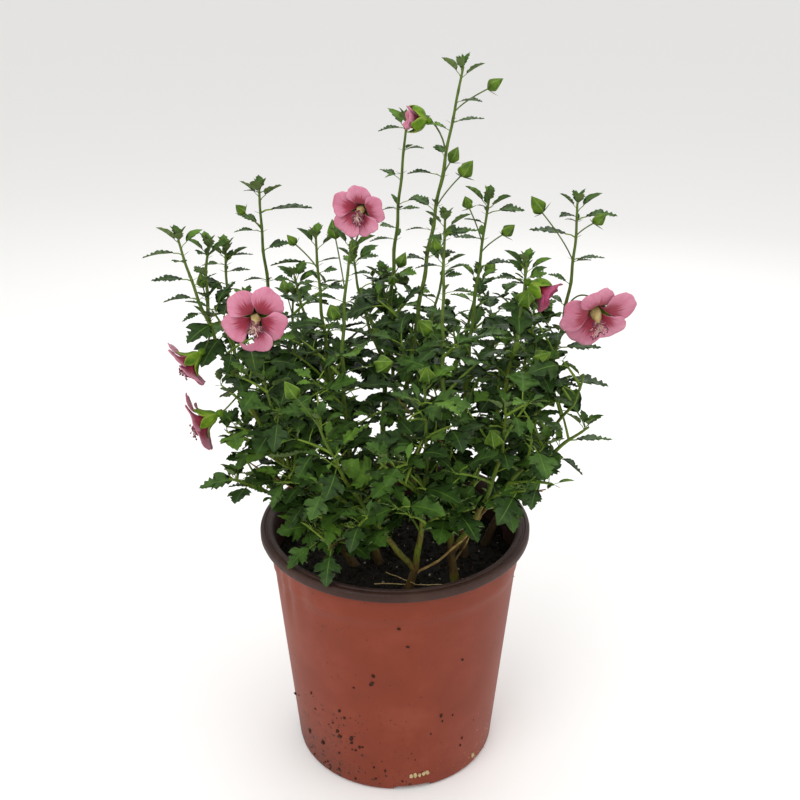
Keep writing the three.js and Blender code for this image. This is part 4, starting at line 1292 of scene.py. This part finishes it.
# a side twig with its leaves and a leafy tip
def growTwig(sprays, start, direction, length, dice):
    end = start + direction * length
    middle = (start + end) / 2 + up * 0.08 * length
    line = (start, middle, end)
    if not sprays.isFree(pointOn(line, 0.7), end, 0):
        return False
    sprays.twigs.append(chainOn(line, 5, 0.95, 0.5))
    angle = 6 * dice()
    run = 0.28 * length
    while run < length - 2:
        share = run / length
        root = pointOn(line, share)
        heading = headingOn(line, share)
        for turn in range(2):
            forward, flat = leafHeading(heading, angle + 1.3 * turn, 0.5 * dice() - 0.32, 0.9 * dice() - 0.45)
            size = growth["lowLeaf"] * (0.55 + 0.45 * dice())
            tint = chooseTint(root, dice, False)
            kind = chooseKind(dice, False)
            if sprays.addLeaf(tint, root, forward, flat, size, kind, growth["spacing"]):
                break
        angle += math.pi + 0.9 * (dice() - 0.5)
        run += growth["sideStep"]
    forward, flat = leafHeading(up, math.atan2(direction.y, direction.x), 0.1, 0.5 * dice() - 0.25)
    tint = chooseTint(end, dice, True)
    kind = chooseKind(dice, True)
    sprays.addLeaf(tint, end, forward, flat, 0.6 * growth["lowLeaf"], kind, 4)
    addTuft(sprays, end, direction, angle, dice, 2, 8)
    return True


# a shoot's tip: half-grown leaves to both sides, folded young ones over them, and a closed one in the middle
# each row: how far below the tip, turn, rise, size, kind
tipPlan = [
    (7.5, 0.0, 0.45, 12.0, "i_fan"), (6.0, 3.14, 0.70, 11.5, "i_fan"), (4.4, 1.5, 0.8, 9.5, "i_fan"),
    (3.4, 4.6, 1.0, 8.5, "i_fan"), (1.8, 0.4, 1.4, 7.5, "g_young"), (1.2, 3.5, 1.7, 7.0, "g_young"),
    (0.4, 2.2, 4.0, 5.5, "g_young"),
]


def growTip(sprays, line, dice):
    length = lineLength(line)
    side = 0.5 * math.pi + 0.9 * dice() - 0.45
    mirror = 1 if dice() > 0.5 else -1
    for drop, turn, lift, size, kind in tipPlan:
        forward, flat = leafHeading(up, side + mirror * turn + 0.5 * dice() - 0.25, lift, 0.7 * dice() - 0.35)
        tint = "fresh" if size < 7 or dice() > 0.65 else "mid"
        size *= 0.9 + 0.25 * dice()
        sprays.addLeaf(tint, pointOn(line, 1 - drop / length), forward, flat, size, kind, 0.2, True)


# leaves set one by one, each on a fine twig from the nearest shoot below it
def growNearLeaves(sprays, shoots):
    for foot, tip, facing, tint, kind in nearLeaves:
        foot, tip = Vector(foot), Vector(tip)
        size = (tip - foot).length
        forward = (tip - foot).normalized()
        flat = (Vector(facing) - forward * forward.dot(Vector(facing))).normalized()
        root = foot - forward * size * leafKinds[kind][6] * 0.9
        starts = [pointOn(shoot["line"], i / 20) for shoot in shoots.values() for i in range(20)]
        starts = [start for start in starts if start.z < root.z - 2 and start.z > soilForm["level"] + 4]
        start = min(starts, key=lambda spot: (spot - root).length)
        middle = (start + root) / 2 + up * 0.15 * (root - start).length
        sprays.twigs.append(chainOn((start, middle, root), 5, 0.8, 0.45))
        sprays.remember((foot + tip) / 2)
        sprays.leaves[tint].append((root, forward, flat, size, sorted(leafKinds).index(kind)))


# leaves and side twigs along a shoot, turning by the golden angle at each node
def growShoot(sprays, shoot, dice):
    line, bare = shoot["line"], shoot["bare"]
    length = lineLength(line, bare, 1.0)
    given = placedLeaves.get(shoot["name"], [])
    top = growth["bushTop"] - 12 * dice()
    angle = 6.28 * dice()
    run = 3.0
    node = 0
    while run < length - 3:
        share = mixed(bare, 1.0, run / length)
        root = pointOn(line, share)
        tangent = headingOn(line, share)
        bushy = root.z < top
        rise = run / length
        if bushy:
            size = growth["lowLeaf"] * (0.72 + 0.42 * dice())
        else:
            size = mixed(0.8 * growth["lowLeaf"], growth["highLeaf"], rise) * (0.75 + 0.3 * dice())
        twigLength = growth["sideTwig"] * (1.15 - 0.55 * rise) * (0.7 + 0.5 * dice())
        placed = False
        for turn in range(4):
            if placed or (not bushy and given and abs(math.sin(angle)) < 0.55):
                break
            lift = 0.45 * dice() - 0.28 if bushy else 0.2 * dice()
            forward, flat = leafHeading(tangent, angle + 0.9 * turn, lift, 0.6 * dice() - 0.3)
            rising = (forward + up * 0.55).normalized()
            if bushy and node % 2 == 0 and root.z < top - 8:
                placed = growTwig(sprays, root, rising, twigLength, dice)
            if not placed:
                kind = chooseKind(dice, not bushy)
                placed = sprays.addLeaf(chooseTint(root, dice, not bushy), root, forward, flat, size, kind,
                                        growth["spacing"])
        if bushy and node % 3 == 0 or not bushy and not given:
            addTuft(sprays, root, tangent, angle, dice, 2, 9)
        angle += goldenAngle
        node += 1
        thinning = 1 + growth["thinning"] * smooth((root.z - growth["thinFrom"]) / 40)
        run += growth["lowStep"] * thinning if bushy else growth["highStep"] * (1.0 if given else 0.8)
    for height, reach, degrees in given:
        share = shareAtHeight(line, height - 0.22 * reach)
        root = pointOn(line, share)
        turn = math.radians(degrees)
        forward = Vector((math.cos(turn), 0.5 * dice() - 0.3, 0.6 * math.sin(turn) + 0.10)).normalized()
        flat = (up - forward * up.dot(forward)).normalized()
        flat = Matrix.Rotation(0.5 * dice() - 0.25, 3, forward) @ flat
        kind = chooseKind(dice, True)
        size = reach / (1 + leafKinds[kind][6])
        sprays.addLeaf(chooseTint(root, dice, reach < 14), root, forward, flat, size, kind, 0.5, True)
        addTuft(sprays, root, headingOn(line, share), turn, dice, int(2 * dice()), 7)
    growTip(sprays, line, dice)


def makeSprays(name, leaves, parcel, tree, finishes):
    turns, sizes, kinds = [], [], []
    for root, forward, flat, size, kind in leaves:
        turns += [*Matrix((forward, flat.cross(forward), flat)).transposed().to_quaternion()]
        sizes.append(size * mm)
        kinds.append(kind)
    values = {"turn": ("QUATERNION", turns), "size": ("FLOAT", sizes), "kind": ("INT", kinds)}
    obj = newObject(name, [root for root, *rest in leaves], [], [], values)
    return growWithNodes(obj, tree, {"Leaves": parcel, **finishes}, ["turn", "size", "kind", "part"])


petalForm = {
    "rows": 18,
    "columns": 17,
    "thickness": 0.35,
    "curl": 1.3,
    "twist": 0.9,
    "foot": 1.3,  # radius of the ring that the petals stand on
    "steps": 40,  # that the profile is divided into
    "longest": 1.1,  # length of the whole profile, in petals
}


# how a flower opens: radius and height reached along a petal, for a petal one unit long
def petalProfile(openness, steps):
    radius, height = [0.0], [0.0]
    widest = math.radians(mixed(14, 98, openness))
    for i in range(steps):
        share = (i + 0.5) / steps
        lean = mixed(math.radians(14), widest, smooth(1.3 * share - 0.06))
        radius.append(radius[-1] + math.sin(lean) / steps)
        height.append(height[-1] + math.cos(lean) / steps)
    return radius, height


# radius and height in millimetres at a step of the profile
def profileAt(profile, step, length):
    step = min(petalForm["steps"] - 0.001, step)
    k = int(step)
    return [mixed(line[k], line[k + 1], step - k) * petalForm["longest"] * length for line in profile]


# a closed thin sheet on a grid of points, with its two attributes for the pattern
def addSheet(grid, shift, mesh):
    rows, columns = len(grid), len(grid[0])
    first = len(mesh["points"])
    for layer in (0, 1):
        for i, row in enumerate(grid):
            for j, (point, normal) in enumerate(row):
                mesh["points"].append(point + normal * shift * (0.5 - layer))
                mesh["along"].append(i / (rows - 1))
                mesh["across"].append(2 * j / (columns - 1) - 1)
    count = rows * columns

    def corner(layer, i, j):
        return first + layer * count + i * columns + j

    for i in range(rows - 1):
        for j in range(columns - 1):
            mesh["faces"].append((corner(0, i, j), corner(0, i, j + 1),
                                  corner(0, i + 1, j + 1), corner(0, i + 1, j)))
            mesh["faces"].append((corner(1, i, j), corner(1, i + 1, j),
                                  corner(1, i + 1, j + 1), corner(1, i, j + 1)))
    for i in range(rows - 1):
        for j, order in ((0, 1), (columns - 1, -1)):
            quad = (corner(0, i, j), corner(0, i + 1, j), corner(1, i + 1, j), corner(1, i, j))
            mesh["faces"].append(quad[::order])
    for j in range(columns - 1):
        for i, order in ((0, -1), (rows - 1, 1)):
            quad = (corner(0, i, j), corner(0, i, j + 1), corner(1, i, j + 1), corner(1, i, j))
            mesh["faces"].append(quad[::-order])


def gridNormals(spots):
    rows, columns = len(spots), len(spots[0])
    grid = []
    for i in range(rows):
        row = []
        for j in range(columns):
            down = spots[min(i + 1, rows - 1)][j] - spots[max(i - 1, 0)][j]
            side = spots[i][min(j + 1, columns - 1)] - spots[i][max(j - 1, 0)]
            row.append((spots[i][j], side.cross(down).normalized()))
        grid.append(row)
    return grid


def flowerFrame(item):
    facing = Vector(item["faces"]).normalized()
    across, beside = planeOf(facing)
    radius, height = petalProfile(item["open"], petalForm["steps"])
    length = (0.5 * item["width"] - petalForm["foot"]) / max(radius)
    throat = Vector(item["centre"]) - facing * height[-1] * length * 0.8
    return facing, across, beside, length, throat


def addPetals(item, index, mesh):
    facing, across, beside, length, throat = flowerFrame(item)
    columns, foot = petalForm["columns"], petalForm["foot"]
    profile = petalProfile(item["open"], petalForm["steps"])
    for petal in range(5):
        middle = math.radians(item["firstPetal"] + 72 * petal)
        seed = 9 * index + petal
        big = 1 + 0.05 * math.sin(4.1 * seed)
        torn = item.get("torn") == petal
        spots = []
        rows = 3 * petalForm["rows"] if torn else petalForm["rows"]
        for i in range(rows):
            along = 0.07 + 0.93 * i / (rows - 1)
            edge = -1.0
            if torn:
                ragged = 0.3 * noise.noise(Vector((0, 0, 26 * along)))
                hole = (0.95 + ragged) * smooth((along - 0.44) / 0.08)
                edge += mixed(hole, 0.12, smooth((along - 0.72) / 0.27))
            row = []
            for j in range(columns):
                v = mixed(edge, 1.0, j / (columns - 1))
                notch = 0.035 * math.exp(-(v / 0.18) ** 2)
                reach = 1 - 0.24 * abs(v) ** 2.8 - 0.025 * math.cos(5 * v + seed) - notch
                reach *= big + 0.022 * noise.noise(Vector((7 * v, 3 * seed, 0)))
                run = along * reach
                out, rise = profileAt(profile, run * petalForm["steps"] / petalForm["longest"], length)
                spread = math.radians(13 + 30 * smooth((run - 0.12) / 0.58)) * mixed(1.25, 1.0, item["open"])
                turn = middle + v * spread
                rise += 0.9 * petalForm["twist"] * v * smooth(run * 1.6)
                wave = 0.35 * math.sin(3.0 * v + seed) + 0.25 * math.cos(6 * v + 2 * seed)
                rise += petalForm["curl"] * wave * run ** 2
                rise += 0.10 * math.cos(11 * math.pi * v) * smooth(run * 3)
                direction = across * math.cos(turn) + beside * math.sin(turn)
                row.append(throat + direction * (foot + out) + facing * rise)
            spots.append(row)
        addSheet(gridNormals(spots), petalForm["thickness"], mesh)


calyxForm = {"rows": 13, "columns": 7, "thickness": 0.4, "halfSepal": 37}  # half a sepal's breadth in degrees


# the calyx: five pointed sepals joined into a cup against the petals' backs, fat on a half-closed flower
def addSepals(item, mesh):
    facing, across, beside, length, throat = flowerFrame(item)
    wide = item["open"] > 0.6
    size = 0.27 * item["width"] + 4.0 if wide else item.get("calyx", 12)
    profile = petalProfile(item["open"], petalForm["steps"])
    for sepal in range(5):
        middle = math.radians(item["firstPetal"] + 36 + 72 * sepal)
        spots = []
        for i in range(calyxForm["rows"]):
            along = i / (calyxForm["rows"] - 1)
            step = petalForm["steps"] * along * size / (petalForm["longest"] * length)
            radius, height = profileAt(profile, step, length)
            behind = smooth(along * 4)
            row = []
            for j in range(calyxForm["columns"]):
                v = 2 * j / (calyxForm["columns"] - 1) - 1
                out = 0.5 + behind * (petalForm["foot"] + 0.5) + radius
                out += (0.5 if wide else 2.8) * math.sin(math.pi * along ** 0.8)
                rise = height - 1.0 - 0.3 * abs(v)
                narrow = 1 - 0.97 * smooth((along - 0.45) / (0.6 if wide else 0.7))
                turn = middle + v * math.radians(calyxForm["halfSepal"]) * narrow
                direction = across * math.cos(turn) + beside * math.sin(turn)
                row.append(throat + direction * out + facing * rise)
            spots.append(row)
        addSheet(gridNormals(spots), calyxForm["thickness"], mesh)
    addSpindle(throat - facing * 4.6, throat + facing * 1.4, 2.2, mesh)


# a closed spindle between two ends, plain or with ridges along it, widest at a share of its length
def addSpindle(start, end, girth, mesh, ridges=0, ridge=0.0, tipped=1.0, widest=0.45, rings=9, sides=10):
    forward = (end - start).normalized()
    across, beside = planeOf(forward)
    first = len(mesh["points"])
    mesh["points"].append(start)
    mesh["across"].append(0.0)
    for i in range(1, rings):
        share = i / rings
        past = (share - widest) / (1 - widest)
        if share < widest:
            body = math.sin(0.5 * math.pi * share / widest) ** 0.8
        elif ridges:
            body = (1 - past) ** tipped + 0.5 * past * (1 - past)
        else:
            body = math.cos(0.5 * math.pi * past) ** tipped
        for j in range(sides):
            turn = 2 * math.pi * j / sides
            seam = max(0.0, math.cos(ridges * turn)) if ridges else 0.0
            radius = girth * body * (1 + ridge * (2 * seam - 1 if ridges else 0))
            outward = across * math.cos(turn) + beside * math.sin(turn)
            mesh["points"].append(start.lerp(end, share) + outward * radius)
            mesh["across"].append(seam)
    mesh["points"].append(end)
    mesh["across"].append(0.0)
    last = len(mesh["points"]) - 1
    for j in range(sides):
        k = (j + 1) % sides
        mesh["faces"].append((first, first + 1 + k, first + 1 + j))
        for i in range(rings - 2):
            low = first + 1 + i * sides
            mesh["faces"].append((low + j, low + k, low + sides + k, low + sides + j))
        low = first + 1 + (rings - 2) * sides
        mesh["faces"].append((low + j, low + k, last))
    mesh["along"] += [0.5] * (len(mesh["points"]) - first)


columnForm = {
    "cone": 0.074,  # girth, as a share of the flower's width
    "threads": 40,
    "lowest": 0.62,  # where the threads start along the column
    "thread": 0.17,
    "anther": 0.9,
}


# pollen column: a cream cone that droops, then pinkish threads with a dark anther on each
def columnParts(item, index, column, threads, anthers):
    facing, across, beside, length, throat = flowerFrame(item)
    if item["open"] < 0.6:
        return
    size = item["width"]
    foot = throat + facing * 0.07 * size
    tip = throat + facing * 0.37 * size - up * 0.08 * size
    coneTip = throat + facing * 0.36 * size - up * 0.05 * size
    addSpindle(foot, coneTip, columnForm["cone"] * size, column, 5, 0.10, 0.8, 0.3)
    dice = seeded(700 + index)
    for i in range(columnForm["threads"]):
        share = mixed(columnForm["lowest"], 1.0, dice())
        root = foot.lerp(tip, share)
        turn = goldenAngle * i
        side = across * math.cos(turn) + beside * math.sin(turn)
        reach = size * (0.065 + 0.045 * dice())
        end = root + side * reach + facing * reach * 0.5 - up * reach * (0.2 + 0.6 * dice())
        middle = (root + end) / 2 + facing * 0.25 * reach
        threads.append(chainOn((root, middle, end), 3, columnForm["thread"], columnForm["thread"]))
        anthers.append((end, columnForm["anther"] + 0.5 * dice()))
    threads.append(chainOn((foot, foot.lerp(tip, 0.6), tip), 4, 0.62, 0.30))


def emptyMesh():
    return {"points": [], "faces": [], "along": [], "across": []}


def sheetObject(name, mesh, finish):
    values = {label: ("FLOAT", mesh[label]) for label in ("along", "across")}
    return buildMesh(name, mesh["points"], mesh["faces"], [finish], None, (), values)


# petal: thin, velvety pink, with a feathered crimson flame from the throat and fine darker veins
def makePetalFinish(name, stops, veinCode, flameCode):
    look = {"Roughness": 0.55, "IOR": 1.4, "Specular IOR Level": 0.2, "Sheen Weight": 0.12}
    material, tree, shader, place, base = startFinish(name, look, (9, 3, 0.5), stops)
    along, across = (addNode(tree, "ShaderNodeAttribute", {"attribute_name": label}).outputs["Fac"]
                     for label in ("along", "across"))
    # veins fan out along the petal, about a millimetre apart at its widest
    fan = addNode(tree, "ShaderNodeCombineXYZ", {}, {"X": across, "Y": along})
    spread = addNode(tree, "ShaderNodeMapping", {"Scale": (11, 1.3, 1)}, {"Vector": fan})
    vein = addNode(tree, "ShaderNodeTexNoise", {"Scale": 1.0, "Detail": 3.0, "Roughness": 0.6},
                   {"Vector": spread})
    veins = addNode(tree, "ShaderNodeValToRGB",
                    {"stops": [(0.42, "#000000"), (0.52, "#8a8a8a"), (0.62, "#000000")]}, {"Fac": vein})
    reached = addNode(tree, "ShaderNodeMath", {"operation": "MULTIPLY", 1: 0.80}, {0: along})
    feather = addNode(tree, "ShaderNodeMath", {"operation": "MULTIPLY_ADD", 1: 0.5}, {0: vein, 2: reached})
    flame = addNode(tree, "ShaderNodeValToRGB",
                    {"stops": [(0.20, "#ffffff"), (0.74, "#f0f0f0"), (0.84, "#707070"), (0.96, "#000000")]},
                    {"Fac": feather})
    edge = addNode(tree, "ShaderNodeMath", {"operation": "ABSOLUTE"}, {0: across})
    edgeFade = addNode(tree, "ShaderNodeValToRGB", {"stops": [(0.8, "#ffffff"), (1.0, "#a8a8a8")]},
                       {"Fac": edge})
    flame = addNode(tree, "ShaderNodeMix", {"data_type": "RGBA", "blend_type": "MULTIPLY", 0: 1.0},
                    {6: flame, 7: edgeFade}).outputs[2]
    endFinish(tree, shader, base, [(veins, veinCode), (flame, flameCode)], vein, 0.35, 0.3)
    return material


# small smooth parts: satiny, with faint clouds of colour
def makePlainFinish(name, dark, light, roughness, size):
    look = {"Roughness": roughness, "IOR": 1.42, "Specular IOR Level": 0.25}
    stops = [(0.35, dark), (0.65, light)]
    return makeGrainyFinish(name, look, (size, 3, 0.6), stops, (0.8, 2, 0.5, 0.3, 0.15))


# green parts of buds and calyx: downy, paler along the seams and edges of the sepals
def makeBudFinish(name, dark, light, seamCode):
    look = {"Roughness": 0.62, "IOR": 1.42, "Specular IOR Level": 0.22}
    stops = [(0.35, dark), (0.65, light)]
    material, tree, shader, place, base = startFinish(name, look, (4, 3, 0.6), stops)
    across = addNode(tree, "ShaderNodeAttribute", {"attribute_name": "across"}).outputs["Fac"]
    edge = addNode(tree, "ShaderNodeMath", {"operation": "ABSOLUTE"}, {0: across})
    seam = addNode(tree, "ShaderNodeValToRGB", {"stops": [(0.55, "#000000"), (1.0, "#d8d8d8")]},
                   {"Fac": edge})
    fine = addNode(tree, "ShaderNodeTexNoise", {"Scale": 1 / (0.7 * mm), "Detail": 2}, {"Vector": place})
    endFinish(tree, shader, base, [(seam, seamCode)], fine, 0.4, 0.2)
    return material


shoots = planShoots()
greenBark = makeGreenBark()
deadBark = makeDeadBark()
makeLimbs(shoots, greenBark)
makeDeadTwigs(shoots, deadBark)
shootWood = makeShoots(shoots, greenBark)
strawFinish = makePlainFinish("dryStraw", "#b3975f", "#cdb684", 0.6, 4.0)
handOver(makeStraws(strawFinish))
print("stems, boughs and shoots made")

petals, furled, calyx, budSkins, column = (emptyMesh() for i in range(5))
stalks, threads, anthers = [], [], []
sprays = Sprays()
for index, item in enumerate(flowerPlan):
    centre = Vector(item["centre"])
    throat = flowerFrame(item)[-1]
    back = (centre - throat).length + 4.0
    facing, line = planStalk(shoots, item["mass"], centre, item["faces"], back, item["node"])
    stalks.append(chainOn(line, 10, 0.5, 0.5))
    addPetals(item, index, furled if item.get("furled") else petals)
    addSepals(item, calyx)
    columnParts(item, index, column, threads, anthers)
    sprays.keepOut.append((centre, facing, 0.5 * item["width"] + 3))
buds = []
for mass, centre, drop, size in budPlan:
    centre = Vector(centre)
    facing, line = planStalk(shoots, mass, centre, None, 3.5 * size, centre.z - drop)
    stalks.append(chainOn(line, 8, 0.4, 0.4))
    start = centre - facing * 4.6 * size
    addSpindle(start, start + facing * 11.5 * size, 3.6 * size, budSkins, 5, 0.18, 1.15, 0.38, 14, 20)
    sprays.keepOut.append((centre, facing, 4.5 * size))
    sprays.remember(centre)
    buds.append((start, facing, size))
petalFinish = makePetalFinish("velvetyPinkPetal", [(0.3, "#bd7087"), (0.5, "#c67f95"), (0.72, "#cf8fa3")],
                              "#a04464", "#8a1c30")
furledFinish = makePetalFinish("deepRosePetal", [(0.3, "#98365a"), (0.5, "#a8466a"), (0.72, "#b9587a")],
                               "#7c2444", "#8a1c30")
budFinish = makeBudFinish("downyBudGreen", "#3a5717", "#5a761f", "#8a9c52")
calyxFinish = makeBudFinish("downyCalyxGreen", "#426414", "#69891a", "#90a344")
creamFinish = makePlainFinish("pollenColumn", "#a6925a", "#cab984", 0.6, 3.0)
threadFinish = makePlainFinish("pinkFilament", "#b98b86", "#d9b9ae", 0.6, 2.0)
antherFinish = makePlainFinish("darkAnther", "#5c2c3c", "#8c5062", 0.7, 1.0)
greenStalk = makePlainFinish("greenStalk", "#59741f", "#789036", 0.55, 8.0)
flowerStalk = makePlainFinish("downyFlowerStalk", "#46582a", "#63753c", 0.65, 8.0)
antherKinds = grainCollection("anther", 2, 1.4, 70)
flowerParts = [faceOutward(sheetObject("petals", petals, petalFinish)),
               faceOutward(sheetObject("furledPetals", furled, furledFinish)),
               faceOutward(sheetObject("calyces", calyx, calyxFinish)),
               faceOutward(sheetObject("buds", budSkins, budFinish)),
               faceOutward(sheetObject("pollenColumns", column, creamFinish)),
               makeLines("pollenThreads", threads, 5, threadFinish, lineTree),
               placeBeads("anthers", anthers, antherKinds, 9, antherFinish, beadTree),
               makeLines("flowerStalks", stalks, 7, flowerStalk, lineTree)]
for piece in flowerParts:
    handOver(piece)
dropCollection(antherKinds)
print("flowers and buds made")

growNearLeaves(sprays, shoots)
for number, shoot in enumerate(shoots.values()):
    growShoot(sprays, shoot, seeded(growth["seed"] + 7 * number))
for start, facing, size in buds:
    across, beside = planeOf(facing)
    for i in range(3):
        turn = 2.1 * i + start.x
        forward = (across * math.cos(turn) + beside * math.sin(turn) + facing * 0.35).normalized()
        flat = (facing - forward * facing.dot(forward)).normalized()
        sprays.leaves["mid"].append((start, forward, flat, 7.5 * size, sorted(leafKinds).index("h_scale")))
leafParcel = bpy.data.collections.new("leafKinds")
bpy.context.scene.collection.children.link(leafParcel)
for name in sorted(leafKinds):
    template = leafTemplate(name, leafKinds[name])
    bpy.context.scene.collection.objects.unlink(template)
    leafParcel.objects.link(template)
leafTree = makeLeafTree()
ribFinish = makePlainFinish("leafRib", "#47661f", "#5a7a2c", 0.55, 6.0)
underside = makeLeafFinish("leafUnderside", "#4c5f30", "#5c6f3c", "#6c7e4c", 0.7)
# three greens of one leaf: partly leaf age and the leaf's own tone, partly painted light and shade, since
# leaves at the front and top get the lighter greens and leaves behind or in shadow get the deep one
tints = {
    "deep": makeLeafFinish("leafDeepGreenWithPaintedShade", "#1c3010", "#284016", "#334d1c", 0.48),
    "mid": makeLeafFinish("leafMidGreen", "#2b4516", "#38551c", "#466626", 0.5),
    "fresh": makeLeafFinish("leafFreshGreenWithPaintedLight", "#426220", "#507123", "#60842e", 0.52),
}
leafPieces = []
for tint, finish in tints.items():
    leafFinishes = {"Upper": finish, "Under": underside, "Stalk": greenStalk, "Rib": ribFinish}
    piece = makeSprays(tint + "Leaves", sprays.leaves[tint], leafParcel, leafTree, leafFinishes)
    print(tint, len(sprays.leaves[tint]), "leaves")
    leafPieces.append(piece)
twigs = makeLines("sideTwigs", sprays.twigs, 6, greenStalk, lineTree)
dropCollection(leafParcel)
masses = ["foliage_" + name for name in [*stemPlan, *boughPlan]]
handOver(shootWood, masses)
handOver(twigs, masses)
for piece in leafPieces:
    handOver(piece, masses)
print("leaves made")


stageForm = {
    "cameraPlace": (3.2, -580.5, 499.7),
    "pitch": 23.743,  # degrees below level
    "lens": 47.25,
    "floorReach": 12000,
    "lamps": [
        # name, place, what it faces, size, watts
        ("windowLight", (-620, -900, 1150), (0, 0, 240), 900, 8),
        ("fillLight", (900, -500, 700), (0, 0, 220), 900, 2.5),
        ("topLight", (0, 150, 1500), (0, 0, 200), 1200, 5),
        ("backLight", (250, 1000, 800), (0, 0, 260), 800, 2),
    ],
}


def setStage(form):
    eye = bpy.data.cameras.new("camera")
    eye.lens = form["lens"]
    eye.sensor_width = 36
    camera = bpy.data.objects.new("camera", eye)
    camera.location = Vector(form["cameraPlace"]) * mm
    camera.rotation_euler = (math.radians(90 - form["pitch"]), 0, 0)
    bpy.context.scene.collection.objects.link(camera)
    bpy.context.scene.camera = camera
    for name, place, target, size, watts in form["lamps"]:
        light = bpy.data.lights.new(name, "AREA")
        light.energy = watts
        light.size = size * mm
        lamp = bpy.data.objects.new(name, light)
        lamp.location = Vector(place) * mm
        aim = Vector(target) - Vector(place)
        lamp.rotation_euler = aim.to_track_quat("-Z", "Y").to_euler()
        bpy.context.scene.collection.objects.link(lamp)
    reach = form["floorReach"]
    corners = [(-reach, -reach, 0), (reach, -reach, 0), (reach, reach, 0), (-reach, reach, 0)]
    look = {"Base Color": hexColour("#f4f3f1"), "Roughness": 0.9}
    paper, tree, shader = startMaterial("paleStudioFloor", look)
    floor = buildMesh("studioFloor", corners, [(0, 1, 2, 3)], [paper])
    world = bpy.data.worlds.new("softWhiteRoom")
    world.use_nodes = True
    sky = world.node_tree.nodes["Background"]
    sky.inputs["Color"].default_value = (1, 1, 1, 1)
    sky.inputs["Strength"].default_value = 0.85
    bpy.context.scene.world = world
    bpy.context.scene.view_settings.view_transform = "Standard"
    print("stage set")


setStage(stageForm)
